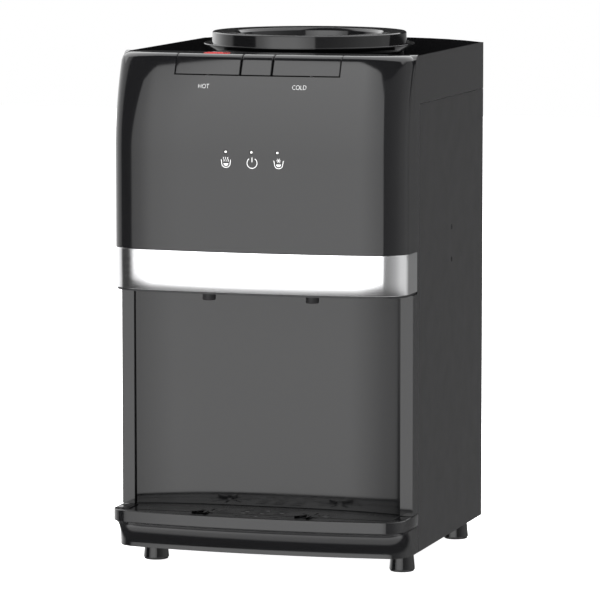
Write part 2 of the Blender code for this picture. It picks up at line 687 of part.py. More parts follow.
def fan():
    low_y, high_y = behind(0.2385), behind(0.2585)
    frame = box("fan_frame", (-0.046, low_y, COOLER_Z - 0.046), (0.046, high_y, COOLER_Z + 0.046),
                "satin_black")
    cut(frame, cylinder("fan_bore", 0.0435, (0, low_y - 0.01, COOLER_Z),
                        (0, high_y + 0.01, COOLER_Z), segments=40))
    join(frame, cylinder("fan_mount", 0.0150, (0, high_y - 0.0035, COOLER_Z),
                         (0, high_y, COOLER_Z)))
    for turn in (45, 135):
        strut = box(f"fan_strut_{turn}", (-0.050, high_y - 0.0035, COOLER_Z - 0.002),
                    (0.050, high_y - 0.0005, COOLER_Z + 0.002))
        rotate_about(strut, (0, 0, COOLER_Z), "Y", turn)
        join(frame, strut)
    hub_y = (low_y + 0.0010, high_y - 0.0050)
    rotor = cylinder("fan_rotor", 0.0155, (0, hub_y[0], COOLER_Z), (0, hub_y[1], COOLER_Z),
                     "satin_black")
    origin_at(rotor, (0, (hub_y[0] + hub_y[1]) / 2, COOLER_Z))
    middle = (hub_y[0] + hub_y[1]) / 2
    for i in range(7):
        blade = box(f"fan_blade_{i}", (0.0140, middle - 0.0008, COOLER_Z - 0.0085),
                    (0.0415, middle + 0.0008, COOLER_Z + 0.0085))
        rotate_about(blade, (0, middle, COOLER_Z), "X", 38)
        rotate_about(blade, (0, 0, COOLER_Z), "Y", 360 * i / 7)
        join(rotor, blade)
    guard_low, guard_high = BACK_PLATE_Y + GAP, BACK_PLATE_Y + 0.0022
    guard = cylinder("fan_guard", 0.0500, (0, guard_low, COOLER_Z), (0, guard_high, COOLER_Z),
                     "black_steel", segments=32)
    for radius in (0.0130, 0.0240, 0.0350):
        ring = turned(f"guard_gap_{radius}", [(radius + 0.0085, 0.01), (radius + 0.0085, -0.01),
                                              (radius, -0.01), (radius, 0.01)],
                      (0, guard_high, COOLER_Z), steps=24)
        cut(guard, face_rear(ring))
    for turn in (0, 90):
        bar = box(f"guard_bar_{turn}", (-0.0470, guard_low + 0.0002, COOLER_Z - 0.002),
                  (0.0470, guard_high - 0.0002, COOLER_Z + 0.002))
        rotate_about(bar, (0, 0, COOLER_Z), "Y", turn)
        join(guard, bar)


def hot_side():
    """Hot tank in its sleeve with the band heater, on a stand over the base pan."""
    x, y = HOT_TANK
    tank = turned("hot_tank", [(0.0, 0.1065), (0.0385, 0.1065), (0.0385, 0.2315),
                               (0.0050, 0.2355), (0.0050, 0.2500), (0.0070, 0.2500),
                               (0.0070, 0.2370), (0.0400, 0.2330), (0.0400, 0.1050),
                               (0.0, 0.1050)], (x, y, 0), "stainless", closed=False)
    join(tank, cylinder("tank_inlet", 0.0040, (x + 0.0390, y, 0.1135), (x + 0.0600, y, 0.1135),
                        segments=12))
    turned("heater_band", [(0.0426, 0.1500), (0.0426, 0.1220), (0.0404, 0.1220),
                           (0.0404, 0.1500)], (x, y, 0), "mica")
    sleeve = turned("hot_insulation", [(0.0560, 0.2280), (0.0560, 0.1080), (0.0430, 0.1080),
                                       (0.0430, 0.2280)], (x, y, 0), "foam")
    cut(sleeve, cylinder("sleeve_hole", 0.0048, (x + 0.0350, y, 0.1135), (x + 0.0650, y, 0.1135),
                         segments=12))
    cylinder("thermostat", 0.0085, (x + 0.024, y, 0.2364), (x + 0.024, y, 0.2430), "satin_black",
             segments=16)
    floor = FOOT_H + 0.0036
    outline = [(x - 0.040, floor), (x - 0.040, 0.1047), (x + 0.040, 0.1047), (x + 0.040, floor),
               (x + 0.0385, floor), (x + 0.0385, 0.1032), (x - 0.0385, 0.1032),
               (x - 0.0385, floor)]
    stand = prism("tank_stand", outline, y - 0.030, y + 0.030, "stainless", axis="Y")
    cut(stand, cylinder("stand_hole", 0.0080, (x, y, 0.09), (x, y, 0.12), segments=16))


def taps():
    """Tap bodies with their spouts, the rods that the keys push, and the return springs."""
    body = [(0.0100, 0.3450), (0.0100, 0.3200), (0.0120, 0.3180), (0.0120, BAND_LOW + 0.0003),
            (0.0065, BAND_LOW + 0.0003), (0.0065, 0.2712), (0.0058, 0.2706), (0.0040, 0.2706),
            (0.0040, 0.2950), (0.0, 0.2950)]
    bore = [(0.0, 0.3350), (0.0036, 0.3350), (0.0036, 0.3450)]
    rod = [(0.0, 0.5075), (0.0014, 0.5071), (0.0026, 0.5060), (0.0030, 0.5045),
           (0.0030, 0.3800), (0.0078, 0.3800), (0.0078, 0.3775), (0.0030, 0.3775),
           (0.0030, 0.3385), (0.0, 0.3385)]
    for name, side in (("hot", -1), ("cold", 1)):
        x = side * TAP_X
        tap = turned(f"{name}_tap", bore + body, (x, TAP_Y, 0), "satin_black", steps=16,
                     closed=False)
        join(tap, cylinder(f"{name}_tap_inlet", 0.0040, (x, TAP_Y + 0.0090, 0.3050),
                           (x, TAP_Y + 0.0230, 0.3050), segments=12))
        turned(f"{name}_push_rod", rod, (x, TAP_Y, 0), "white_plastic", steps=12, closed=False)
        coil = [(x + 0.0058 * math.cos(2 * math.pi * i / 8),
                 TAP_Y + 0.0058 * math.sin(2 * math.pi * i / 8),
                 0.3460 + 0.0308 * i / 40) for i in range(41)]
        tube(f"{name}_spring", coil, 0.0005, "stainless", resolution=0)


def pipes():
    """Silicone hoses and the steel drain pipe, each along its fixed route."""
    hot_x, hot_y = HOT_TANK
    inlet_y = TAP_Y + 0.0233
    tube("cold_hose", smooth_route([(0, SEAT_Y - 0.0646, 0.3250), (0, SEAT_Y - 0.0740, 0.3250),
                                    (0.025, behind(0.050), 0.3200), (TAP_X, behind(0.024), 0.3050),
                                    (TAP_X, inlet_y + 0.0001, 0.3050)]), 0.0050, "silicone")
    tube("hot_hose", smooth_route([(hot_x, hot_y, 0.2503), (hot_x, hot_y, 0.2620),
                                   (hot_x + 0.001, hot_y - 0.020, 0.2830),
                                   (-0.056, behind(0.045), 0.3020), (-TAP_X, behind(0.020), 0.3050),
                                   (-TAP_X, inlet_y, 0.3050)]), 0.0050, "silicone")
    tube("feed_hose", smooth_route([(0, SEAT_Y, 0.2846), (0, SEAT_Y, 0.2700),
                                    (0.018, behind(0.135), 0.2000), (0.022, behind(0.112), 0.1350),
                                    (0.015, hot_y, 0.1145), (0.0003, hot_y, 0.1135)]),
         0.0050, "silicone")
    tube("drain_pipe", smooth_route([(hot_x, hot_y, 0.1046), (hot_x, hot_y, 0.0930),
                                     (hot_x, hot_y + 0.014, DRAIN[1] + 0.0015),
                                     (hot_x, hot_y + 0.032, DRAIN[1]),
                                     (hot_x, behind(0.2300), DRAIN[1])]), 0.0045, "stainless")


# ---------------------------------------------------------------- electrics and rear fittings
def boards():
    power = box("power_board", (0.025, behind(0.060), 0.0620), (0.120, behind(0.150), 0.0636),
                "board")
    join(power,
         box("transformer", (0.032, behind(0.070), 0.0630), (0.064, behind(0.104), 0.0900)),
         box("bridge", (0.075, behind(0.072), 0.0630), (0.100, behind(0.084), 0.0760)),
         cylinder("capacitor", 0.0080, (0.088, behind(0.105), 0.0630),
                  (0.088, behind(0.105), 0.0880), segments=16),
         box("terminals", (0.035, behind(0.130), 0.0630), (0.105, behind(0.142), 0.0740)))
    for i, (x, y) in enumerate([(0.030, 0.064), (0.115, 0.064), (0.030, 0.146), (0.115, 0.146)]):
        join(power, cylinder(f"standoff_{i}", 0.0030, (x, behind(y), FOOT_H + 0.0036),
                             (x, behind(y), 0.0625), segments=10))
    front_y = behind(-0.0355)
    lamps = box("lamp_board", (-0.045, front_y, 0.404), (0.045, front_y + 0.0016, 0.432), "board")
    for side in (-1, 1):
        join(lamps, box(f"lamp_board_post_{side}",
                        (side * 0.040 - 0.002, behind(-0.0446), 0.406),
                        (side * 0.040 + 0.002, front_y + 0.0010, 0.410)))
    for name, x in LAMP_X.items():
        cylinder(f"{name}_light_pipe", 0.0016, (x, HEAD_Y + 0.0005, LAMP_Z),
                 (x, front_y - GAP, LAMP_Z), "clear_lens", segments=12)


def rear_fittings():
    face = BACK_PLATE_Y
    for name, x in SWITCH_X.items():
        switch = box(f"{name}_switch", (x - 0.0060, face - 0.0140, SWITCH_Z - 0.0095),
                     (x + 0.0060, face + 0.0010, SWITCH_Z + 0.0095), "satin_black")
        join(switch, box(f"{name}_bezel", (x - 0.0080, face + GAP, SWITCH_Z - 0.0115),
                         (x + 0.0080, face + 0.0018, SWITCH_Z + 0.0115)))
        cut(switch, box(f"{name}_rocker_well", (x - 0.0047, face - 0.0080, SWITCH_Z - 0.0084),
                        (x + 0.0047, face + 0.01, SWITCH_Z + 0.0084)))
        axis_y = face - 0.0035
        outline = [(axis_y - 0.0020, SWITCH_Z - 0.0070), (axis_y + 0.0038, SWITCH_Z - 0.0070),
                   (axis_y + 0.0028, SWITCH_Z), (axis_y + 0.0055, SWITCH_Z + 0.0056),
                   (axis_y - 0.0020, SWITCH_Z + 0.0070)]
        rocker = prism(f"{name}_rocker", outline, x - 0.0044, x + 0.0044,
                       "red_plastic" if name == "hot" else "satin_black", axis="X")
        origin_at(rocker, (x, axis_y, SWITCH_Z))
    face_rear(turned("cord_gland", [(0.0072, 0.0075), (0.0100, 0.0060), (0.0100, GAP),
                                    (0.0075, GAP), (0.0075, -0.0100), (0.0035, -0.0100),
                                    (0.0035, 0.0075)],
                     (0.095, face, DRAIN[1]), "rubber", steps=24))
    face_rear(turned("drain_fitting", [(0.0110, 0.0020), (0.0110, GAP), (0.0080, GAP),
                                       (0.0080, -0.0300), (0.0052, -0.0300), (0.0052, 0.0020)],
                     (DRAIN[0], face, DRAIN[1]), "satin_black", steps=24))
    cap = face_rear(turned("drain_cap", [(0.0, 0.0085), (0.0092, 0.0085), (0.0100, 0.0077),
                                         (0.0100, 0.0024), (0.0046, 0.0024), (0.0046, -0.0120),
                                         (0.0, -0.0120)],
                           (DRAIN[0], face, DRAIN[1]), "rubber", steps=24, closed=False))
    join(cap, box("cap_grip", (DRAIN[0] - 0.0085, face + 0.0080, DRAIN[1] - 0.0012),
                  (DRAIN[0] + 0.0085, face + 0.0090, DRAIN[1] + 0.0012)))


# ---------------------------------------------------------------- drip tray
def drip_tray():
    tray = prism("drip_tray", tray_outline(0.0), TRAY_LOW, TRAY_TOP, "gloss_black")
    cut(tray, prism("tray_ledge", tray_outline(0.0022), TRAY_TOP - 0.0035, TRAY_TOP + 0.01),
        prism("tray_hollow", tray_outline(0.0050), TRAY_LOW + 0.0020, TRAY_TOP + 0.01))
    grille = prism("drip_grille", tray_outline(0.0027), TRAY_TOP - 0.0032, TRAY_TOP - 0.0012,
                   "satin_black")
    low, high = TRAY_LOW - 0.01, TRAY_TOP + 0.01
    for side in (-1, 1):
        for i in range(8):
            slot = box(f"grille_ray_{side}_{i}", (side * TAP_X + 0.0060, TAP_Y - 0.0011, low),
                       (side * TAP_X + 0.0200, TAP_Y + 0.0011, high))
            rotate_about(slot, (side * TAP_X, TAP_Y, 0), "Z", 45 * i)
            cut(grille, slot)
    for place_number in range(-1, 2):
        for row in range(-2, 3):
            x, y = 0.0180 * place_number, TAP_Y + 0.009 * row
            cut(grille, box(f"grille_hole_{place_number}_{row}", (x - 0.0055, y - 0.0012, low),
                            (x + 0.0055, y + 0.0012, high)))


def build():
    empty_scene()
    main_frame()
    upper_fascia()
    keys()
    chrome_band()
    head_floor()
    splash_panel()
    base_skirt()
    base_pan()
    feet()
    side_panels()
    rear_panel()
    bottle_seat()
    cold_side()
    cooler()
    hot_side()
    taps()
    pipes()
    boards()
    rear_fittings()
    drip_tray()


build()
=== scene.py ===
"""Looks of a countertop water dispenser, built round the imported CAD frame.

Units are metres, +Z is up, the front faces -Y and +X is to the right of somebody who looks at
the front, as in the CAD.  The glossy outer shells are made again here at a fine resolution, with
the same curves; flat sheet and moulded pieces take their shape from their CAD node and get
rounded edges; what is closed up inside the cabinet keeps its CAD mesh.
"""

from math import asin, atan2, cos, pi, radians, sin, sqrt, tan, tau

import bmesh
import bpy
from mathutils import Matrix, Vector


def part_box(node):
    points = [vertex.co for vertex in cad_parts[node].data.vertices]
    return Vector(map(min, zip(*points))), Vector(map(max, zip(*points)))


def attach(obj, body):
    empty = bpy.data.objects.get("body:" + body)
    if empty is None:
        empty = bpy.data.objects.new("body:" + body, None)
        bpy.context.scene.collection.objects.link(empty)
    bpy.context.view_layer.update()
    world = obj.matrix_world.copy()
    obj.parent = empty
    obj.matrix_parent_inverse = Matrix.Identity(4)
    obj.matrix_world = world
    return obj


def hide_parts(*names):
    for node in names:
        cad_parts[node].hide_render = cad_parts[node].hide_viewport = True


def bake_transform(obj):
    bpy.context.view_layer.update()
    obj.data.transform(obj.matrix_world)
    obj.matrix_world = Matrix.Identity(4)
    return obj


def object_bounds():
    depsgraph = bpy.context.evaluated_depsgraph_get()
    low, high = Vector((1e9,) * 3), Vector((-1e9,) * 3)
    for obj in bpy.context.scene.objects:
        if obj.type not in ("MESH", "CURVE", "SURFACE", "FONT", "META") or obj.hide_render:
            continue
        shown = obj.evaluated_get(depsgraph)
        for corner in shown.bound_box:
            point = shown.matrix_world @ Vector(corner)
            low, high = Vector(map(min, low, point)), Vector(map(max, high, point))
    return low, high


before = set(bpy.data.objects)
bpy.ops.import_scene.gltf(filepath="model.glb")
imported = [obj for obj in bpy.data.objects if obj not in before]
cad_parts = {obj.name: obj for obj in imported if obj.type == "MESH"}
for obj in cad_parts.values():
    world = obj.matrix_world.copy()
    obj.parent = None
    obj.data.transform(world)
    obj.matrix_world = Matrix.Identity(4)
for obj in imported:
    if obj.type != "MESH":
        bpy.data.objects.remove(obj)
CAD_LOW, CAD_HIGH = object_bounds()

# ------------ dimensions from the frame
GAP = 0.0003  # kept between neighbouring pieces
HALF_W = CAD_HIGH.x
FRONT_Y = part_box("drip_tray")[0].y
COLUMN_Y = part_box("main_frame")[0].y  # front faces of the columns
HEAD_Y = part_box("upper_fascia")[0].y  # foremost line of the fascia
TOP_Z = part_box("upper_fascia")[1].z
BAND_LOW, BAND_TOP = (corner.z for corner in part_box("chrome_band"))
BAND_END_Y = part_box("chrome_band")[1].y
TRAY_LOW, TRAY_TOP = (corner.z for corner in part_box("drip_tray"))
FOOT_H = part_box("foot_front_left")[1].z
KEY_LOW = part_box("cold_key")[0].z
KEY_BACK_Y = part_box("cold_key")[1].y
KEY_INNER_X, KEY_OUTER_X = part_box("cold_key")[0].x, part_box("cold_key")[1].x
CAP_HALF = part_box("centre_cap")[1].x
PANEL_LOW, PANEL_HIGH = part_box("splash_panel")
REAR_FACE_Y = COLUMN_Y + 0.2605  # outer face of the rear panel
SEAT = (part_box("bottle_seat")[0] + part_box("bottle_seat")[1]) / 2
SEAT_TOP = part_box("bottle_seat")[1].z

# ------------ curves shared with the CAD
BOW_R = 0.9  # plan radius of the bowed front
HEAD_CORNER_R = 0.025
TRAY_CORNER_R = 0.022
SHOULDER_Z = 0.415  # the fascia leans back above this height
LEAN_R = 0.22
ROLL_R = 0.009
SOFT_CORNER_W = 0.045  # width and depth of the head's corners at the top
SOFT_CORNER_D = 0.021
SOFT_SHARE = 0.55  # share of that softening below the shoulder
SEAM_LAG = 0.0372
SEAM_Y = COLUMN_Y + 0.003
COLUMN_W = 0.0126
SHELL = 0.0025
TAP_X = 0.053
TAP_Y = COLUMN_Y - 0.018
FAN_Z = 0.385
LAMPS = {"hot": -0.0263, "power": 0.0, "cold": 0.0263}
LAMP_Z = 0.4195
ICON_Z = 0.4095
SWITCHES = {"hot": -0.095, "cold": -0.06}
SWITCH_Z = 0.15
DRAIN = (-0.06, 0.078)
GLAND = (0.095, 0.078)
DECK_Z = 0.495  # floor of the recess round the bottle seat
KEY_AXIS = (COLUMN_Y + 0.009, TOP_Z - 0.0025)  # y and z of the keys' hinge line
KEY_GAP = 0.0006  # round the keys
KEY_WALL = 0.0045
KEY_END_WALL = 0.002  # at the sides and the back of a key
KEY_HOLLOW_LOW = 0.486
SILL_DEPTH = 0.0094  # of the sloping sill under the keys
LOCK_SLOT_X = (-0.0606, -0.0344)  # groove of the child lock in the hot key
LOCK_SLOT_Y = (COLUMN_Y - 0.0135, COLUMN_Y + 0.003)
LOCK_SLOT_DEPTH = 0.0025
RIB_W, RIB_PITCH = 0.0012, 0.0026  # grip of the child lock
UNDER_HEAD, PAST_FRONT, PAST_TOP = 0.3, -0.2, 0.53  # where cutting solids end
INK_LIFT = 0.00008  # printing stands this far off the fascia
ICON_SHIFT = {"hot": 0.0004, "power": 0.0008, "cold": 0.0014}  # off the lamps' middles
CUP_FOOT = -5.2  # millimetres under a symbol's middle
WORDS = (("HOT", -0.0522, 0.4823, 0.011), ("COLD", 0.0452, 0.4826, 0.0139))  # middle and width
WORD_H = 0.0041
THINNER = -0.022  # thins the letters, in shares of their height
CHEEK_Y = COLUMN_Y - 0.0226  # front of the cheeks beside the tray
SLIDE_GAP = 0.0006  # between the tray and the cheeks
TRAY_REAR_GAP = 0.002
SKIRT_STEPS = 28
INLET_Z = 0.305  # the taps' hoses
SIDE_SCREW_Y = COLUMN_Y + 0.1455
SIDE_SCREW_ZS = (0.333, 0.3005)
REAR_SCREW_X = 0.13
REAR_SCREW_ZS = (0.04, 0.18, 0.32, 0.452)
GUARD_SCREW_R = 0.0467
SIDE_SCREW = (0.0025, 0.0009)  # radius and height of the heads
REAR_SCREW = (0.0032, 0.0018)
GUARD_SCREW = (0.0024, 0.0012)
BLADES = 7
GRILLE_PITCH = (0.018, 0.009)

# ------------ camera
AZIMUTH = radians(16.769)
ELEVATION = radians(6.43)
DISTANCE = 4.6
TARGET = Vector((0.009, -0.0218, 0.2611))
LENS_MM = 275.4

# ------------ studio light
CARD_EDGES = (-50.0, 23.0)  # front soft box, degrees to the right of the front
CARD_LOW, CARD_TOP = -0.25, 1.02  # its lower and upper edge at unit distance
CARD_DROOP = 0.9  # fall of its upper edge towards the left
CARD_DROOP_FROM = -27.0  # azimuth where that fall starts
CARD_AZIMUTH = -13.0  # azimuth that the soft boxes face
CARD_BLUR, CARD_SIDE_BLUR = 0.02, 0.012
CARD_LIGHT = 2.75
CARD_RISE = 0.3  # brighter towards its top
CARD_PROFILE = [(-180, 0.45), (-50, 0.45), (-42, 0.55), (-36, 0.72), (-28, 0.97), (0, 1.0),
                (6, 0.9), (20, 0.66), (180, 0.6)]
WALLS = [(-180, 0.3), (-163, 0.75), (-135, 1.6), (-117, 1.5), (-106, 1.16), (-97, 0.9),
         (-89, 0.75), (-84, 0.05), (-50, 0.05), (24, 0.24), (40, 0.29), (60, 0.42), (85, 0.68),
         (116, 0.7), (150, 0.24), (163, 0.18), (180, 0.25)]
WALL_LIGHT = 1.6  # what a wall's brightest share stands for
WALL_EDGE = (-0.01, 0.02)  # their upper edge, as a soft step
WALL_RISE = 0.58  # how much higher they are at the sides than behind
WALL_RISE_FROM = (-0.8, -0.6)
WALL_FOOT = (-0.2, -0.35)  # their lower edge
FLOOR_EDGE = (-0.7, -0.85)
NEARLY_LEVEL = 0.001  # keeps the slopes finite
UPPER_DARK = 0.03  # above and below the walls
LOWER_DARK = 0.05
FLOOR_LIGHT = 1.2  # straight down
TOP_LIGHT = 2.2
TOP_FRONT, TOP_BACK = -0.15, 2.7  # overhead soft box at unit height
TOP_LEFT, TOP_RIGHT = -3.0, 1.2
TOP_SIDE_BLUR, TOP_BLUR = 0.2, 0.05
FLOOR_HALF = 6.0
LAMP_SIZE = 1.6
LAMP_WATTS = 45.0
LAMP_AT = (0.2, -0.5, 2.2)


# ------------ materials
class Tree:
    """Node tree whose nodes are added with their inputs, as numbers or outputs of other nodes."""

    def __init__(self, tree):
        self.tree = tree

    def node(self, kind, output, inputs, **settings):
        """Adds a node and returns one of its outputs."""
        made = self.tree.nodes.new(f"ShaderNode{kind}")
        for name, value in settings.items():
            setattr(made, name, value)
        for name, value in inputs.items():
            self.feed(made.inputs[name], value)
        return made.outputs[output]

    def feed(self, socket, value):
        """Joins an output to a socket, or gives it a constant."""
        if isinstance(value, bpy.types.NodeSocket):
            self.tree.links.new(value, socket)
        else:
            socket.default_value = value


SURFACES = {}  # materials by name, filled as the surfaces are made


class Surface(Tree):
    """One Principled material, with short ways to add procedural detail in object space."""

    def __init__(self, name, colour, roughness, metallic=0.0, coat=0.0, ior=1.5):
        self.material = bpy.data.materials.new(name)
        self.material.use_nodes = True
        SURFACES[name] = self.material
        super().__init__(self.material.node_tree)
        self.inputs = self.tree.nodes["Principled BSDF"].inputs
        self.inputs["Base Color"].default_value = (*colour, 1.0)
        self.inputs["Roughness"].default_value = roughness
        self.inputs["Metallic"].default_value = metallic
        self.inputs["IOR"].default_value = ior
        self.inputs["Coat Weight"].default_value = coat
        self.inputs["Coat Roughness"].default_value = 0.03
        self.spot = self.node("TexCoord", "Object", {})

    def noise(self, scale, detail, stretch):
        spot = self.node("Mapping", "Vector", {"Vector": self.spot, "Scale": stretch})
        return self.node("TexNoise", "Fac", {"Vector": spot, "Scale": scale, "Detail": detail})

    def rough(self, scale, low, high, stretch=(1.0, 1.0, 1.0)):
        """Spreads the middle of a noise over a range of roughness."""
        ends = {"From Min": 0.3, "From Max": 0.7, "To Min": low, "To Max": high}
        noise = self.noise(scale, 4.0, stretch)
        self.feed(self.inputs["Roughness"], self.node("MapRange", "Result", {"Value": noise, **ends}))
        return self

    def tint(self, scale, dark, light):
        """Mottles the colour between two shades."""
        shade = self.node("ValToRGB", "Color", {"Fac": self.noise(scale, 5.0, (1.0, 1.0, 1.0))})
        stops = zip(shade.node.color_ramp.elements, (0.35, 0.65), (dark, light))
        for element, position, colour in stops:
            element.position = position
            element.color = (*colour, 1.0)
        self.feed(self.inputs["Base Color"], shade)
        return self

    def bump(self, scale, depth, strength, stretch=(1.0, 1.0, 1.0)):
        """Adds relief of this depth in metres."""
        relief = {"Height": self.noise(scale, 2.0, stretch), "Distance": depth, "Strength": strength}
        self.feed(self.inputs["Normal"], self.node("Bump", "Normal", relief))
        return self

    def glow(self, colour, strength):
        self.inputs["Emission Color"].default_value = (*colour, 1.0)
        self.inputs["Emission Strength"].default_value = strength
        return self


# Piano black moulding: a hard gloss with the faintest orange peel.
Surface("gloss_black", (0.006, 0.006, 0.0065), 0.08).rough(9.0, 0.06, 0.1).bump(260.0, 0.00002, 0.08)
# Moulded black with a fine spark-eroded grain.
Surface("satin_black", (0.013, 0.013, 0.014), 0.42).rough(60.0, 0.34, 0.5).bump(2600.0, 0.00003, 0.35)
# Tray grille: half-gloss black, slightly dulled by wiping.
Surface("deck_black", (0.006, 0.006, 0.0065), 0.26).rough(30.0, 0.22, 0.32).bump(900.0, 0.00002, 0.2)
# Powder-coated sheet: soft sheen and a tiny leather-like grain.
Surface("black_steel", (0.012, 0.012, 0.0125), 0.34).rough(40.0, 0.32, 0.36).bump(2200.0, 0.00003, 0.15)
# Plated band, brushed along its length.
(Surface("satin_chrome", (0.88, 0.88, 0.89), 0.16, metallic=1.0)
 .rough(60.0, 0.13, 0.19, (0.04, 0.04, 6.0)).bump(420.0, 0.00002, 0.15, (0.02, 0.02, 8.0)))
# Stainless steel with fine level bands.
(Surface("stainless", (0.6, 0.6, 0.6), 0.28, metallic=1.0)
 .rough(70.0, 0.22, 0.36, (1.0, 1.0, 12.0)).bump(500.0, 0.00003, 0.2, (1.0, 1.0, 12.0)))
# Bare aluminium.
(Surface("aluminium", (0.78, 0.78, 0.79), 0.35, metallic=1.0)
 .rough(50.0, 0.28, 0.45).bump(700.0, 0.00003, 0.2))
# Blackened steel of the screws.
(Surface("screw_steel", (0.09, 0.09, 0.095), 0.32, metallic=1.0)
 .rough(300.0, 0.25, 0.45).bump(1500.0, 0.00003, 0.2))
# Off-white moulding.
Surface("white_plastic", (0.8, 0.8, 0.78), 0.38).rough(40.0, 0.32, 0.46).bump(1800.0, 0.00003, 0.2)
# Saturated red of the child lock and the hot rocker.
(Surface("red_plastic", (0.42, 0.01, 0.012), 0.35, ior=1.25)
 .rough(80.0, 0.3, 0.42).bump(1600.0, 0.00002, 0.2))
# Darker red of the child lock's knob.
Surface("dark_red", (0.1, 0.004, 0.005), 0.35, ior=1.25).rough(80.0, 0.3, 0.42).bump(1600.0, 0.00002, 0.2)
# Pad-printed ink: matt, very slightly uneven in density.
(Surface("printed_white", (0.8, 0.8, 0.8), 0.5)
 .tint(900.0, (0.7, 0.7, 0.7), (0.86, 0.86, 0.86)).rough(300.0, 0.42, 0.6))
# Milky light pipe with a soft glow of its own.
(Surface("lamp_lens", (0.92, 0.92, 0.9), 0.15, coat=1.0)
 .rough(200.0, 0.1, 0.22).glow((1.0, 0.99, 0.96), 0.8))
# Pale insulating foam, mottled and coarse.
(Surface("foam", (0.82, 0.8, 0.74), 0.9)
 .tint(120.0, (0.7, 0.68, 0.61), (0.86, 0.84, 0.79)).bump(500.0, 0.0004, 0.6))
# Green circuit board.
(Surface("board", (0.03, 0.22, 0.1), 0.45)
 .tint(90.0, (0.02, 0.16, 0.07), (0.04, 0.26, 0.12)).rough(60.0, 0.35, 0.55))
# Matt black rubber.
Surface("rubber", (0.02, 0.02, 0.02), 0.65).rough(90.0, 0.55, 0.78).bump(1200.0, 0.00005, 0.4)
# Milky silicone.
Surface("silicone", (0.75, 0.74, 0.7), 0.5).rough(90.0, 0.42, 0.6).bump(800.0, 0.00004, 0.3)
# Mica sheet.
(Surface("mica", (0.55, 0.42, 0.25), 0.55)
 .tint(160.0, (0.42, 0.31, 0.18), (0.64, 0.5, 0.32)).rough(120.0, 0.45, 0.7))
# White ceramic.
(Surface("ceramic", (0.85, 0.85, 0.83), 0.5)
 .tint(300.0, (0.78, 0.78, 0.76), (0.88, 0.88, 0.86)).rough(200.0, 0.42, 0.6))

INNER_NAMES = {"chrome": "satin_chrome", "clear_lens": "lamp_lens"}


# ------------ making pieces
ON_AXIS = 1e-7  # smaller radii of a profile lie on the axis
SHARP_ANGLE = 35  # degrees between faces that keep an edge
SHARPEST = 0.4  # limits how far a sharp corner is drawn in
NEARLY_STRAIGHT = 1.53  # half angle of corners too flat to round
WELD = 0.00002  # corners of the CAD mesh closer than this are one
FLAT_ANGLE = 0.5  # degrees within which faces count as one face


def added(name, data):
    """New object in the scene that shows this mesh, curve, lamp or camera."""
    obj = bpy.data.objects.new(name, data)
    bpy.context.scene.collection.objects.link(obj)
    return obj


def place(name, mesh, surface, node="", body="cabinet"):
    """Object with a finish, riding on a CAD body and standing for a CAD node."""
    mesh.name = name
    mesh.materials.clear()
    mesh.materials.append(SURFACES[surface])
    obj = added(name, mesh)
    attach(obj, body)
    if node:
        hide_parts(node)
    return obj


def mesh_of(verts, faces, closed=True):
    """Mesh of these faces; those of a closed one are all turned outwards."""
    mesh = bpy.data.meshes.new("piece")
    mesh.from_pydata([tuple(v) for v in verts], [], faces)
    mesh.update()
    if closed:
        bm = bmesh.new()
        bm.from_mesh(mesh)
        bmesh.ops.recalc_face_normals(bm, faces=bm.faces)
        bm.to_mesh(mesh)
        bm.free()
    return mesh


def smooth(mesh, angle=SHARP_ANGLE):
    """Smooth shading with its sharp edges kept."""
    mesh.shade_smooth()
    mesh.set_sharp_from_angle(angle=radians(angle))
    return mesh


def rings_mesh(rings):
    """Skin over closed rings of equal point counts, with both ends capped."""
    count = len(rings[0])
    verts = [point for ring in rings for point in ring]
    faces = [(r * count + i, r * count + (i + 1) % count, (r + 1) * count + (i + 1) % count,
              (r + 1) * count + i) for r in range(len(rings) - 1) for i in range(count)]
    faces += [tuple(range(count)), tuple(range(len(verts) - count, len(verts)))]
    return mesh_of(verts, faces)


def turned_mesh(profile, steps=96):
    """Solid of revolution about the Z axis, from a profile of (radius, height).

    The profile closes on itself, or starts and ends on the axis.
    """
    verts, rows = [], []
    for radius, height in profile:
        if radius < ON_AXIS:
            rows.append([len(verts)] * steps)
            verts.append((0.0, 0.0, height))
            continue
        rows.append(list(range(len(verts), len(verts) + steps)))
        verts += [(x, y, height) for x, y in arc((0.0, 0.0), radius, 0.0, tau, steps)[:-1]]
    if profile[0][0] > ON_AXIS:
        rows.append(rows[0])
    faces = []
    for low, high in zip(rows, rows[1:]):
        for i in range(steps):
            j = (i + 1) % steps
            face = list(dict.fromkeys((low[i], low[j], high[j], high[i])))
            if len(face) > 2:
                faces.append(face)
    return mesh_of(verts, faces)


def prism_mesh(outline, start, end, edge=0.0):
    """Outline in X and Y pushed along Z, with both end edges rounded by an amount."""
    rings = []
    for height, inset in end_rounding(start, end, edge, 3):
        rings.append([(x, y, height) for x, y in drawn_in(outline, inset)])
    return rings_mesh(rings)


def end_rounding(start, end, edge, steps):
    """(place, inset) along an extrusion whose two ends are rounded."""
    if edge == 0.0:
        return [(start, 0.0), (end, 0.0)]
    return (arc((start + edge, edge), edge, pi, 1.5 * pi, steps)
            + arc((end - edge, edge), edge, -pi / 2, 0.0, steps))


def drawn_in(outline, inset):
    """Anticlockwise outline moved inwards by an amount, corner by corner."""
    if inset == 0.0:
        return outline
    made = []
    for i, (x, y) in enumerate(outline):
        before, after = outline[i - 1], outline[(i + 1) % len(outline)]
        a = Vector((x - before[0], y - before[1])).normalized()
        b = Vector((after[0] - x, after[1] - y)).normalized()
        normal = Vector((-a.y - b.y, a.x + b.x))
        reach = inset * 2 / max(normal.length_squared, SHARPEST)
        made.append((x + normal.x * reach, y + normal.y * reach))
    return made


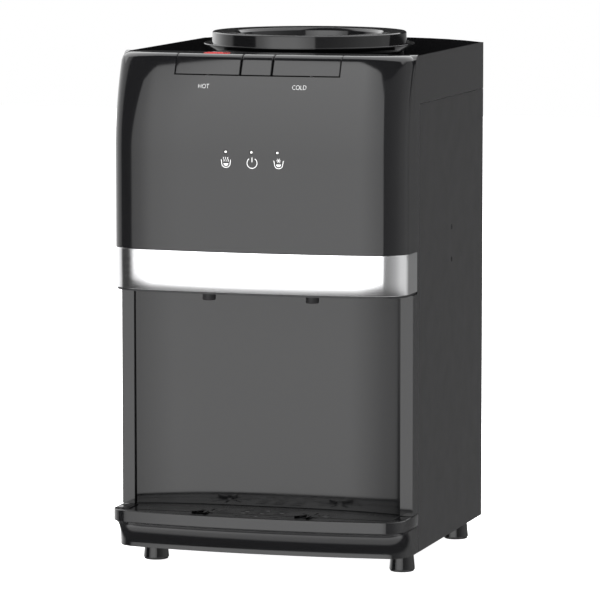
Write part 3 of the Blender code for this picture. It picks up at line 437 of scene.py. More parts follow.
def rounded(points, radius, steps=4):
    """Closed outline with its corners rounded; radius is one value or one for each point."""
    radii = radius if isinstance(radius, (list, tuple)) else [radius] * len(points)
    made = []
    for i, point in enumerate(points):
        corner = Vector(point)
        a = (Vector(points[i - 1]) - corner).normalized()
        b = (Vector(points[(i + 1) % len(points)]) - corner).normalized()
        half = a.angle(b) / 2
        if radii[i] == 0.0 or half > NEARLY_STRAIGHT:
            made.append(tuple(corner))
            continue
        centre = corner + (a + b).normalized() * radii[i] / sin(half)
        start = corner + a * radii[i] / tan(half) - centre
        end = corner + b * radii[i] / tan(half) - centre
        swept = atan2(start.x * end.y - start.y * end.x, start.dot(end))
        for k in range(steps + 1):
            made.append(tuple(centre + Matrix.Rotation(swept * k / steps, 2) @ start))
    return made


def soften(obj, width, segments=3):
    """Rounded edges and face-weighted normals."""
    bevel = obj.modifiers.new("Edges", "BEVEL")
    bevel.width = width
    bevel.segments = segments
    bevel.limit_method = "ANGLE"
    bevel.angle_limit = radians(SHARP_ANGLE)
    obj.data.shade_smooth()
    weigh(obj)


def weigh(obj):
    """Face-weighted normals that keep the sharp edges."""
    normals = obj.modifiers.new("Normals", "WEIGHTED_NORMAL")
    normals.keep_sharp = True


def boolean(target, tools):
    """Cuts each tool mesh out of a target mesh, and returns the result."""
    holder = added("boolean_target", target)
    cutters = [added("boolean_tool", tool) for tool in tools]
    for cutter in cutters:
        modifier = holder.modifiers.new("Cut", "BOOLEAN")
        modifier.operation = "DIFFERENCE"
        modifier.object = cutter
    made = evaluated_mesh(holder)
    for obj in [holder, *cutters]:
        bpy.data.objects.remove(obj, do_unlink=True)
    return made


def evaluated_mesh(obj):
    """Mesh of an object with its modifiers applied, or of a text's curves."""
    graph = bpy.context.evaluated_depsgraph_get()
    return bpy.data.meshes.new_from_object(obj.evaluated_get(graph))


def joined(meshes):
    """One mesh of several that don't touch."""
    bm = bmesh.new()
    for mesh in meshes:
        bm.from_mesh(mesh)
    made = bpy.data.meshes.new(meshes[0].name)
    bm.to_mesh(made)
    bm.free()
    return made


def moved(mesh, matrix):
    mesh.transform(matrix)
    if matrix.determinant() < 0:
        mesh.flip_normals()
    return mesh


def shifted(mesh, x, y, z):
    return moved(mesh, Matrix.Translation((x, y, z)))


def turn_about(axis, share):
    """Turn about an axis by a share of a full turn."""
    return Matrix.Rotation(tau * share, 4, axis)


# Turn a mesh drawn along +Z to point out of the rear or the front, or to lie along Y.
FACING_REAR = Matrix.Rotation(-pi / 2, 4, "X")
FACING_FRONT = Matrix.Rotation(pi / 2, 4, "X")
ALONG_Y = Matrix(((1, 0, 0, 0), (0, 0, 1, 0), (0, 1, 0, 0), (0, 0, 0, 1)))


def box_mesh(low, high, edge=0.0):
    outline = [(low[0], low[1]), (high[0], low[1]), (high[0], high[1]), (low[0], high[1])]
    if edge:
        outline = rounded(outline, edge, 3)
    return prism_mesh(outline, low[2], high[2], edge)


def refined(node, surface, width, segments=2, body="cabinet"):
    """A CAD node's shape with welded corners, whole faces and rounded edges."""
    bm = bmesh.new()
    bm.from_mesh(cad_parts[node].data)
    bmesh.ops.remove_doubles(bm, verts=bm.verts, dist=WELD)
    bmesh.ops.dissolve_limit(bm, angle_limit=radians(FLAT_ANGLE), verts=bm.verts, edges=bm.edges)
    mesh = bpy.data.meshes.new(node)
    bm.to_mesh(mesh)
    bm.free()
    soften(place(f"{node}_body", mesh, surface, node, body), width, segments)


# ------------ shared outlines
def arc(centre, radius, start, end, steps):
    return [(centre[0] + radius * cos(start + (end - start) * i / steps),
             centre[1] + radius * sin(start + (end - start) * i / steps))
            for i in range(steps + 1)]


def spaced(stops, step):
    """Values through all the stops, evenly spaced between them by about a step."""
    values = [stops[0]]
    for low, high in zip(stops, stops[1:]):
        pieces = max(1, round(abs(high - low) / step))
        values += [low + (high - low) * (i + 1) / pieces for i in range(pieces)]
    return values


def corner_centre(front_y, half_w, corner_r, bow_r):
    corner_x = half_w - corner_r
    return corner_x, front_y + bow_r - sqrt((bow_r - corner_r) ** 2 - corner_x ** 2)


def bowed_front(front_y, half_w, corner_r, bow_r):
    """Plan line from the left side, round a corner, along the bow and round to the right."""
    corner_x, corner_y = corner_centre(front_y, half_w, corner_r, bow_r)
    spread = asin(corner_x / (bow_r - corner_r))
    down = 1.5 * pi
    left = arc((-corner_x, corner_y), corner_r, pi, down - spread, 20)
    middle = arc((0.0, front_y + bow_r), bow_r, down - spread, down + spread, 60)
    right = arc((corner_x, corner_y), corner_r, down + spread, tau, 20)
    return left + middle[1:-1] + right


def bow(x, bow_r=BOW_R):
    """How far the bowed front has gone back at this distance from the middle."""
    return bow_r - sqrt(bow_r ** 2 - x ** 2)


def head_outline(inset, front_y, back_y, z):
    """Closed plan outline of the head at a height, drawn in by an amount."""
    half_w = HALF_W - inset - side_roll(z, inset)
    front = bowed_front(front_y, half_w, HEAD_CORNER_R - inset, BOW_R - inset)
    soft = [(x, soft_corner(x, y, front_y, half_w, z)) for x, y in front]
    return [(inset - HALF_W, back_y), *soft, (HALF_W - inset, back_y)]


def side_roll(z, inset):
    """How far the top edge has rolled in from the sides at a height."""
    rise = max(0.0, z - TOP_Z + ROLL_R)
    radius = ROLL_R - inset
    return radius - sqrt(max(0.0, radius ** 2 - rise ** 2))


def soft_corner(x, y, front_y, half_w, z):
    """Plan depth at x, where the corners grow wider and softer towards the top."""
    rise = min(1.0, max(0.0, (z - SHOULDER_Z) / (TOP_Z - ROLL_R - SHOULDER_Z)))
    share = SOFT_SHARE + (1 - SOFT_SHARE) * rise ** 2
    across = min(1.0, max(0.0, (abs(x) - half_w + SOFT_CORNER_W) / SOFT_CORNER_W))
    wrap = SOFT_CORNER_D * (1 - sqrt(1 - across ** 2))
    soft_y = front_y + bow(x) + wrap
    return y + share * max(0.0, soft_y - y)


def head_levels(bottom, inset):
    """Foremost lines and heights of the head's side view: upright, leaning, rolled over."""
    lean_y = HEAD_Y + LEAN_R
    roll_z = TOP_Z - ROLL_R
    rise = asin((roll_z - SHOULDER_Z) / (LEAN_R - ROLL_R))
    roll_y = lean_y - (LEAN_R - ROLL_R) * cos(rise)
    lean = arc((lean_y, SHOULDER_Z), -(LEAN_R - inset), 0.0, -rise, 24)
    roll = arc((roll_y, roll_z), -(ROLL_R - inset), -rise, -pi / 2, 12)
    return [(HEAD_Y + inset, bottom), *lean, *roll[1:]]


def fascia_y(x, z):
    """Outer face of the fascia at a point of the front view."""
    lean = LEAN_R - sqrt(LEAN_R ** 2 - max(0.0, z - SHOULDER_Z) ** 2)
    return HEAD_Y + bow(x) + lean


def head_mesh(inset, bottom, back_shift=0.0):
    """The head's volume, drawn in by an amount, from a bottom height to its rolled top edge."""
    rings = []
    for front_y, z in head_levels(bottom, inset):
        back_y = max(SEAM_Y, front_y - inset + SEAM_LAG) + back_shift
        rings.append([(x, y, z) for x, y in head_outline(inset, front_y, back_y, z)])
    return rings_mesh(rings)


def splash_depth(x, height_share):
    """How far the splash panel lies behind the columns; height_share is 0 at its foot."""
    edge = 0.006 - 0.002 * height_share
    middle = 0.0205 - 0.0025 * height_share
    return edge + (middle - edge) * (1 - abs(x / (HALF_W - COLUMN_W)) ** 3.2)


def tray_outline():
    """Plan of the drip tray, anticlockwise: bowed front, cheeks' notches, curved rear."""
    body_x = HALF_W - COLUMN_W - SLIDE_GAP
    notch_y = CHEEK_Y - SLIDE_GAP
    corner_x, corner_y = corner_centre(FRONT_Y, HALF_W, TRAY_CORNER_R, BOW_R)
    wing_x = corner_x + sqrt(TRAY_CORNER_R ** 2 - (corner_y - notch_y) ** 2)
    front = [point for point in bowed_front(FRONT_Y, HALF_W, TRAY_CORNER_R, BOW_R)
             if point[1] < notch_y - SLIDE_GAP]
    rear = [(x, COLUMN_Y + splash_depth(x, 0.0) - TRAY_REAR_GAP)
            for x in (body_x * (1 - 2 * i / 60) for i in range(61))]
    return [(-body_x, notch_y), (-wing_x, notch_y), *front, (wing_x, notch_y), (body_x, notch_y), *rear]


def skirt_curve():
    """Side view of the skirt as (set-back from the tray's front, height), a Bezier curve."""
    knots = [(0.0015, TRAY_LOW - GAP), (0.013, 0.047), (0.0215, 0.04), (0.0205, FOOT_H)]
    curve = []
    for i in range(SKIRT_STEPS + 1):
        t = i / SKIRT_STEPS
        share = [(1 - t) ** 3, 3 * t * (1 - t) ** 2, 3 * t ** 2 * (1 - t), t ** 3]
        curve.append(tuple(sum(part * knot[k] for part, knot in zip(share, knots)) for k in (0, 1)))
    return curve


# ------------ head
def upper_fascia():
    """Bowed, leaning front moulding, open over the keys and bored for the lamps."""
    bore = [(0.0, -0.01), (0.0019, -0.01), (0.0019, 0.01), (0.0, 0.01)]
    holes = [shifted(moved(turned_mesh(bore, 32), ALONG_Y), x, HEAD_Y, LAMP_Z) for x in LAMPS.values()]
    hollow = head_mesh(SHELL, UNDER_HEAD, 0.02)
    shell = boolean(head_mesh(0.0, BAND_TOP + GAP), [hollow, key_notch(), *holes])
    soften(place("fascia_shell", shell, "gloss_black", "upper_fascia"), 0.0005)


def key_notch():
    """Opening for the keys; its sloping sill follows their swing, so that they clear it."""
    low, back_y = KEY_LOW - KEY_GAP, KEY_BACK_Y + 0.0004
    end = KEY_OUTER_X + KEY_GAP
    axis_y, axis_z = KEY_AXIS
    rings = []
    for x in spaced([-end, end], 0.006):
        edge_y = fascia_y(x, KEY_LOW) + 0.0001
        sill = Vector((axis_z - KEY_LOW, edge_y - axis_y)).normalized() * SILL_DEPTH
        rings.append([(x, y, z) for y, z in (
            (PAST_FRONT, low), (edge_y, low), (edge_y + sill.x, low + sill.y),
            (back_y, low + sill.y), (back_y, PAST_TOP), (PAST_FRONT, PAST_TOP))])
    return rings_mesh(rings)


def key_side_view(inset, low):
    """Side view of a key, anticlockwise from its lower front edge."""
    levels = head_levels(UNDER_HEAD, inset)
    front = [point for point in levels if point[1] > low + 0.0012]
    reach = sqrt((LEAN_R - inset) ** 2 - (low - SHOULDER_Z) ** 2)
    back_y = KEY_BACK_Y - (KEY_END_WALL if inset else 0.0)
    return [(HEAD_Y + LEAN_R - reach, low), (back_y, low), (back_y, levels[-1][1]), *reversed(front)]


def key_loft(outline, low_x, high_x, edge):
    """Side view carried along X with its front following the bow, and rounded ends."""
    ends = end_rounding(low_x, high_x, edge, 4)
    middle = [(x, 0.0) for x in spaced([low_x + edge, high_x - edge], 0.003)[1:-1]]
    half = len(ends) // 2
    roll_y = head_levels(UNDER_HEAD, 0.0)[-1][0]
    rings = []
    for x, inset in [*ends[:half], *middle, *ends[half:]]:
        ring = []
        for y, z in drawn_in(outline, inset):
            share = min(1.0, max(0.0, (KEY_BACK_Y - y) / (KEY_BACK_Y - roll_y)))
            ring.append((x, y + bow(x) * share, z))
        rings.append(ring)
    return rings_mesh(rings)


def key_mesh(low_x, high_x):
    """Key with rounded edges, hollow from below."""
    outer = key_side_view(0.0, KEY_LOW)
    radii = [0.0007, 0.0007, 0.0008] + [0.0] * (len(outer) - 3)
    body = key_loft(rounded(outer, radii), low_x, high_x, 0.0011)
    inner = key_loft(key_side_view(KEY_WALL, KEY_HOLLOW_LOW), low_x + KEY_END_WALL,
                     high_x - KEY_END_WALL, 0.0)
    return boolean(body, [inner])


def keys():
    """Two push keys with the fixed cap between them, and the child lock in the hot key."""
    slot = box_mesh((LOCK_SLOT_X[0], LOCK_SLOT_Y[0], TOP_Z - LOCK_SLOT_DEPTH),
                    (LOCK_SLOT_X[1], LOCK_SLOT_Y[1], TOP_Z + 0.01))
    hot = boolean(key_mesh(-KEY_OUTER_X, -KEY_INNER_X), [slot])
    cold = key_mesh(KEY_INNER_X, KEY_OUTER_X)
    middle = key_mesh(-CAP_HALF, CAP_HALF)
    for name, mesh, node, body in (("hot_key_cap", hot, "hot_key", "hot_key"),
                                   ("cold_key_cap", cold, "cold_key", "cold_key"),
                                   ("middle_cap", middle, "centre_cap", "cabinet")):
        weigh(place(name, smooth(mesh), "gloss_black", node, body))
    child_lock()


def child_lock():
    """Ribbed slider in the hot key, with a darker knob at its end."""
    low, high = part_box("child_lock")
    plate = box_mesh(low, (high.x, high.y, high.z - 0.0008), 0.0004)
    ribs = [box_mesh((x, low.y + 0.0012, low.z + 0.001),
                     (x + RIB_W, high.y - 0.0012, high.z - 0.0003), 0.0003)
            for x in (low.x + 0.003 + RIB_PITCH * i for i in range(6))]
    place("lock_slider", smooth(joined([plate, *ribs])), "red_plastic", "child_lock", "child_lock")
    knob = box_mesh((high.x - 0.0052, low.y + 0.0008, low.z + 0.001),
                    (high.x - 0.0006, high.y - 0.0008, high.z), 0.0006)
    place("lock_knob", smooth(knob), "dark_red", body="child_lock")


def chrome_band():
    """Satin plated channel carried round the head."""
    section = rounded([(0.0, BAND_LOW), (0.002, BAND_LOW), (0.002, BAND_TOP), (0.0, BAND_TOP)], 0.0005)
    lines = [head_outline(inset, HEAD_Y + inset, BAND_END_Y, z) for inset, z in section]
    rings = [[(line[i][0], line[i][1], z) for line, (_, z) in zip(lines, section)]
             for i in range(len(lines[0]))]
    place("band_plated", smooth(rings_mesh(rings)), "satin_chrome", "chrome_band")


def lamps():
    """Domed light pipes in dark rings."""
    dome = [(0.0, 0.0009), (0.0005, 0.0008), (0.0009, 0.0004), (0.001, 0.0), (0.001, -0.0112),
            (0.0, -0.0112)]
    ring = rounded([(0.0011, -0.0008), (0.0018, -0.0008), (0.0018, -0.0001), (0.0023, -0.0001),
                    (0.0022, 0.0003), (0.0019, 0.0003)], 0.0001, 2)
    for name, x in LAMPS.items():
        y = fascia_y(x, LAMP_Z)
        lens = shifted(moved(turned_mesh(dome, 32), FACING_FRONT), x, y, LAMP_Z)
        place(f"{name}_lens", smooth(lens), "lamp_lens", f"{name}_light_pipe")
        collar = shifted(moved(turned_mesh(ring, 48), FACING_FRONT), x, y, LAMP_Z)
        place(f"{name}_lamp_ring", smooth(collar), "satin_black")


# ------------ printed symbols
def on_fascia(x, z):
    """Place of printing at a point of the front view."""
    return x, fascia_y(x, z) - INK_LIFT, z


class Print:
    """Flat strokes in millimetres round a middle point, laid on the fascia."""

    def __init__(self):
        self.points = []
        self.faces = []

    def patch(self, points):
        start = len(self.points)
        self.points += points
        self.faces.append(tuple(range(start, start + len(points))))

    def stroke(self, points, width):
        """Ribbon of a width along a line."""
        sides = []
        for i, point in enumerate(points):
            before, after = points[max(i - 1, 0)], points[min(i + 1, len(points) - 1)]
            along = Vector((after[0] - before[0], after[1] - before[1])).normalized()
            across = Vector((-along.y, along.x)) * width / 2
            sides.append(((point[0] - across.x, point[1] - across.y),
                          (point[0] + across.x, point[1] + across.y)))
        for (right, left), (next_right, next_left) in zip(sides, sides[1:]):
            self.patch([right, next_right, next_left, left])

    def lay(self, name, x, z):
        """Makes the print a thin piece on the fascia."""
        verts = [on_fascia(x + a / 1000, z + b / 1000) for a, b in self.points]
        place(name, mesh_of(verts, self.faces, closed=False), "printed_white")


def cup(drawn, width, top, lip):
    """Open cup in outline, with its mouth turned out by a lip, half full of water."""
    half, r = width / 2, width / 2 - 0.9
    left = [(-half - lip, top), (-half, top - lip * 0.4), (-half + 0.5, CUP_FOOT + r)]
    side = left + arc((-half + 0.5 + r, CUP_FOOT + r), r, pi, 1.5 * pi, 6)
    drawn.stroke(side + [(-x, y) for x, y in reversed(side)], 0.6)
    drawn.patch(arc((0.0, -1.2), 2.4, pi, tau, 24))


def symbols():
    """Steaming cup, power mark and frosted cup under the lamps, drawn in millimetres."""
    hot = Print()
    cup(hot, 9.6, 2.6, 0.0)
    for x in (-2.2, 0.0, 2.2):
        hot.stroke([(x + 0.4 * sin(tau * i / 12), 0.4 + 4.6 * i / 12) for i in range(13)], 0.45)
    power = Print()
    power.stroke(arc((0.0, -0.4), 5.1, radians(125), radians(415), 48), 0.65)
    power.stroke([(0.0, 5.2), (0.0, 0.4)], 0.65)
    cold = Print()
    cup(cold, 9.2, 2.2, 0.8)
    for turn in (0.0, pi / 3, 2 * pi / 3):
        x, y = 2.3 * cos(turn), 2.3 * sin(turn)
        cold.stroke([(-x, 2.4 - y), (x, 2.4 + y)], 0.45)
    for name, drawn in (("hot", hot), ("power", power), ("cold", cold)):
        drawn.lay(f"{name}_symbol", LAMPS[name] + ICON_SHIFT[name], ICON_Z)


def lettering():
    """The two words under the keys, in thin plain capitals that follow the fascia."""
    for word, x, z, width in WORDS:
        text = bpy.data.curves.new(word, "FONT")
        text.body = word
        text.offset = THINNER
        source = added(word, text)
        mesh = evaluated_mesh(source)
        bpy.data.objects.remove(source, do_unlink=True)
        across, up = spans(mesh)
        for vert in mesh.vertices:
            vert.co = on_fascia(x + width * ((vert.co.x - across[0]) / across[1] - 0.5),
                                z + WORD_H * ((vert.co.y - up[0]) / up[1] - 0.5))
        place(f"{word.lower()}_word", mesh, "printed_white")


def spans(mesh):
    """(start, length) of a flat mesh along X and along Y."""
    return [(min(line), max(line) - min(line))
            for line in ([vert.co[k] for vert in mesh.vertices] for k in (0, 1))]


# ------------ cup space and base
def splash_panel():
    """Curved glossy sheet behind the cup space, deeper at its foot."""
    half_w = PANEL_HIGH.x
    rings = []
    for height_share in (0.0, 0.25, 0.5, 0.75, 1.0):
        z = PANEL_LOW.z + (PANEL_HIGH.z - PANEL_LOW.z) * height_share
        front = [(x, COLUMN_Y + splash_depth(x, height_share), z)
                 for x in (half_w * (1 - 2 * i / 80) for i in range(81))]
        rings.append(front + [(x, y + SHELL, z) for x, y, z in reversed(front)])
    soften(place("splash_sheet", rings_mesh(rings), "gloss_black", "splash_panel"), 0.0003)


def skirt_mesh(curve, inset):
    """Stack of bowed outlines, set back from the tray's front along the curve."""
    back_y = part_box("base_skirt")[1].y - inset
    rings = []
    for depth, z in curve:
        front = bowed_front(FRONT_Y + depth + inset, HALF_W - inset, TRAY_CORNER_R - inset,
                            BOW_R - inset)
        rings.append([(x, y, z) for x, y in
                      [(inset - HALF_W, back_y), *front, (HALF_W - inset, back_y)]])
    return rings_mesh(rings)


def base_skirt():
    """Scooped front base moulding, with a cheek at each side of the drip tray."""
    curve = skirt_curve()
    inner = [(depth, z) for depth, z in curve if z < TRAY_LOW - 0.0035]
    hollow = skirt_mesh([*inner, (curve[-1][0], FOOT_H - 0.005)], 0.003)
    skirt = boolean(skirt_mesh(curve, 0.0), [hollow])
    soften(place("skirt_shell", skirt, "gloss_black", "base_skirt"), 0.0005)
    back_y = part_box("base_skirt")[1].y
    for name, side in (("left", -1), ("right", 1)):
        low_x, high_x = sorted((side * (HALF_W - COLUMN_W), side * HALF_W))
        cheek = box_mesh((low_x, CHEEK_Y, TRAY_LOW - 0.002), (high_x, back_y, TRAY_TOP), 0.0008)
        place(f"cheek_{name}", smooth(cheek), "gloss_black")


def drip_tray():
    """Lift-out tray: rounded rim, a ledge for the grille and a basin under it."""
    outline = tray_outline()
    steps = (arc((TRAY_LOW + 0.0006, 0.0006), 0.0006, pi, 1.5 * pi, 4)
             + arc((TRAY_TOP - 0.001, 0.001), 0.001, -pi / 2, 0.0, 6)
             + [(TRAY_TOP - 0.0001, 0.0019), (TRAY_TOP - 0.0005, 0.0022), (TRAY_TOP - 0.0035, 0.0022),
                (TRAY_TOP - 0.0035, 0.0048), (TRAY_TOP - 0.0038, 0.005), (TRAY_LOW + 0.0026, 0.005),
                (TRAY_LOW + 0.002, 0.0056)])
    rings = [[(x, y, z) for x, y in drawn_in(outline, inset)] for z, inset in steps]
    weigh(place("tray_shell", smooth(rings_mesh(rings)), "gloss_black", "drip_tray", "drip_tray"))
    grille(outline)


def grille(outline):
    """Plate with a star of slots under each tap and short slots between them."""
    low, high = TRAY_TOP - 0.0032, TRAY_TOP - 0.0012
    plate = prism_mesh(drawn_in(outline, 0.0027), low, high, 0.0003)
    through = (low - 0.002, high + 0.002)
    slots = []
    for side in (-1, 1):
        for i in range(8):
            slot = moved(slot_mesh(0.006, 0.02, 0.0011, *through), turn_about("Z", i / 8))
            slots.append(shifted(slot, side * TAP_X, TAP_Y, 0.0))
    for column in (-1, 0, 1):
        for row in (-2, -1, 0, 1, 2):
            slot = slot_mesh(-0.0055, 0.0055, 0.0012, *through)
            slots.append(shifted(slot, GRILLE_PITCH[0] * column, TAP_Y + GRILLE_PITCH[1] * row, 0.0))
    cut = boolean(plate, [joined(slots)])
    soften(place("grille_plate", cut, "deck_black", "drip_grille", "drip_grille"), 0.00025, 2)


def slot_mesh(start, end, half, low, high):
    """Round-ended slot along X, of half this width."""
    outline = (arc((end - half, 0.0), half, -pi / 2, pi / 2, 8)
               + arc((start + half, 0.0), half, pi / 2, 1.5 * pi, 8))
    return prism_mesh(outline, low, high)


def feet():
    """Turned feet, each with a soft pad under it."""
    body = rounded([(0.001, FOOT_H), (0.001, 0.0016), (0.0122, 0.0016), (0.0129, 0.0022),
                    (0.011, FOOT_H - 0.0008), (0.0105, FOOT_H)], 0.0002, 2)
    pad = [(0.0, 0.0), (0.0112, 0.0), (0.012, 0.0006), (0.012, 0.0015), (0.0, 0.0015)]
    for end in ("front", "rear"):
        for side in ("left", "right"):
            node = f"foot_{end}_{side}"
            centre = (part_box(node)[0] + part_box(node)[1]) / 2
            foot = shifted(turned_mesh(body, 64), centre.x, centre.y, 0.0)
            place(f"{node}_cup", smooth(foot), "gloss_black", node)
            sole = shifted(turned_mesh(pad, 64), centre.x, centre.y, 0.0)
            place(f"{node}_pad", smooth(sole), "rubber")


def taps():
    """Tap bodies; their spouts come out under the head."""
    profile = [(0.0, 0.335), (0.0036, 0.335), (0.0036, 0.345), (0.0098, 0.345),
               (0.01, 0.3448), (0.01, 0.3202), (0.012, 0.318), (0.012, BAND_LOW + 0.0003),
               (0.0065, BAND_LOW + 0.0003), (0.0065, 0.2716), (0.0062, 0.2709), (0.0056, 0.2706),
               (0.0044, 0.2706), (0.004, 0.2712), (0.004, 0.295), (0.0, 0.295)]
    hose_stub = [(0.0, 0.009), (0.004, 0.009), (0.004, 0.023), (0.0, 0.023)]
    for name, side in (("hot", -1), ("cold", 1)):
        inlet = shifted(moved(turned_mesh(hose_stub, 32), FACING_REAR), 0.0, 0.0, INLET_Z)
        body = shifted(joined([turned_mesh(profile, 64), inlet]), side * TAP_X, TAP_Y, 0.0)
        place(f"{name}_tap_body", smooth(body), "satin_black", f"{name}_tap")


# ------------ bottle seat
def bottle_seat():
    """Turned funnel that the bottle's neck drops into, with its probe."""
    points = [((0.0762, 0.5268), 0.0006), ((0.0945, SEAT_TOP), 0.0004), ((0.097, SEAT_TOP), 0.0006),
              ((0.098, 0.5264), 0.0006), ((0.0984, 0.5122), 0.0004), ((0.106, 0.516), 0.0004),
              ((0.1064, 0.5148), 0.0004), ((0.0966, 0.509), 0.0005), ((0.0962, DECK_Z + GAP), 0.0),
              ((0.0928, DECK_Z + GAP), 0.0), ((0.0924, 0.486), 0.0005), ((0.09, 0.4845), 0.0005),
              ((0.0895, 0.507), 0.0008), ((0.076, 0.5105), 0.0008), ((0.07, 0.4935), 0.002),
              ((0.056, 0.479), 0.002), ((0.033, 0.469), 0.0008), ((0.03, 0.469), 0.0008),
              ((0.0545, 0.4825), 0.002), ((0.0675, 0.496), 0.002), ((0.0738, 0.524), 0.001)]
    profile = rounded([point for point, _ in points], [radius for _, radius in points])
    seat = shifted(turned_mesh(profile, 160), SEAT.x, SEAT.y, 0.0)
    place("seat_funnel", smooth(seat, 30), "gloss_black", "bottle_seat", "bottle_seat")
    spike = [(0.0, 0.5115), (0.003, 0.5112), (0.0055, 0.5098), (0.008, 0.5083),
             (0.0095, 0.5062), (0.0112, 0.5028), (0.012, 0.499), (0.0125, 0.4745),
             (0.0288, 0.4745), (0.029, 0.4743), (0.029, 0.4717), (0.0288, 0.4715),
             (0.0115, 0.4715), (0.0115, 0.456), (0.008, 0.456), (0.008, 0.496), (0.0, 0.501)]
    windows = [moved(slot_mesh(-0.02, 0.02, 0.003, 0.485, 0.493), turn_about("Z", share))
               for share in (0.0, 0.25)]
    probe = shifted(boolean(turned_mesh(spike, 64), windows), SEAT.x, SEAT.y, 0.0)
    place("water_probe", smooth(probe), "white_plastic", "probe")


# ------------ rear and sides
def screw_mesh(radius, height):
    """Pan-head screw with a cross recess, its head pointing up from the origin."""
    head = [(0.0, height), (radius * 0.55, height * 0.97), (radius * 0.85, height * 0.75),
            (radius, height * 0.35), (radius, 0.0), (radius * 0.45, 0.0), (radius * 0.45, -0.002),
            (0.0, -0.002)]
    length, width = radius * 0.6, radius * 0.11
    arms = [box_mesh((-x, -y, height * 0.35), (x, y, height + 0.001))
            for x, y in ((length, width), (width, length))]
    return smooth(boolean(turned_mesh(head, 32), arms))


def screw(name, size, turn, x, y, z):
    """Screw that holds a panel, at a place and turned out of its face."""
    place(name, shifted(moved(screw_mesh(*size), turn), x, y, z), "screw_steel")


def sheet_metal():
    """Folded side panels and rear panel with their screws."""
    for name, side in (("left", -1), ("right", 1)):
        refined(f"side_panel_{name}", "black_steel", 0.0003)
        for level, z in enumerate(SIDE_SCREW_ZS):
            screw(f"side_screw_{name}_{level}", SIDE_SCREW, turn_about("Y", side / 4),
                  side * (HALF_W - 0.0011), SIDE_SCREW_Y, z)
    refined("rear_panel", "black_steel", 0.0003)
    spots = [(x, z) for x in (-REAR_SCREW_X, REAR_SCREW_X) for z in REAR_SCREW_ZS]
    for i, (x, z) in enumerate(spots):
        screw(f"rear_screw_{i}", REAR_SCREW, FACING_REAR, x, REAR_FACE_Y, z)


def ring_mesh(inner, outer, low, high):
    """Flat ring with rounded edges."""
    return turned_mesh(rounded([(inner, low), (outer, low), (outer, high), (inner, high)], 0.0004, 2))


def fan():
    """Finger guard, frame and bladed rotor behind the cooler's heat sink."""
    refined("fan_frame", "satin_black", 0.0004)
    front, rear = (corner.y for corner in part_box("fan_guard"))
    low, high = 0.0, rear - front
    parts = [turned_mesh([(0.0, low), (0.0128, low), (0.013, low + 0.0002),
                          (0.013, high - 0.0004), (0.0126, high), (0.0, high)])]
    parts += [ring_mesh(inner, outer, low, high)
              for inner, outer in ((0.0215, 0.024), (0.0325, 0.035), (0.0435, 0.05))]
    for i in range(4):
        bar = box_mesh((0.012, -0.0018, low + 0.0002), (0.0445, 0.0018, high - 0.0003), 0.0004)
        parts.append(moved(bar, turn_about("Z", i / 4)))
    guard = shifted(moved(joined(parts), FACING_REAR), 0.0, front, FAN_Z)
    place("guard_rings", smooth(guard), "black_steel", "fan_guard")
    for i in range(4):
        turn = radians(45 + 90 * i)
        screw(f"guard_screw_{i}", GUARD_SCREW, FACING_REAR, GUARD_SCREW_R * cos(turn), rear,
              FAN_Z + GUARD_SCREW_R * sin(turn))
    rotor()


def rotor():
    """Hub with twisted, curved blades."""
    low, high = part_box("fan_rotor")
    depth = high.y - low.y
    hub = rounded([(0.001, 0.0), (0.0155, 0.0), (0.0155, depth), (0.001, depth)], 0.0012)
    parts = [turned_mesh(hub, 64)]
    parts += [shifted(blade_mesh(tau * i / BLADES), 0.0, 0.0, depth / 2) for i in range(BLADES)]
    body = shifted(moved(joined(parts), FACING_REAR), 0.0, low.y, FAN_Z)
    place("rotor_blades", smooth(body), "satin_black", "fan_rotor", "fan_rotor")


def blade_mesh(start):
    """Fan blade that leaves the hub at an angle, flatter and further round at its tip."""
    section = [(-0.008, -0.0004), (0.0, -0.0006), (0.008, -0.0004),
               (0.008, 0.0004), (0.0, 0.0006), (-0.008, 0.0004)]
    rings = []
    for share in (k / 8 for k in range(9)):
        radius = 0.0148 + 0.0262 * share
        pitch = radians(52 - 20 * share)
        ring = []
        for along, across in section:
            turn = start + 0.16 * share ** 2 + (along * sin(pitch) - across * cos(pitch)) / radius
            height = 0.9 * (along * cos(pitch) + across * sin(pitch))
            ring.append((radius * cos(turn), radius * sin(turn), height))
        rings.append(ring)
    return rings_mesh(rings)


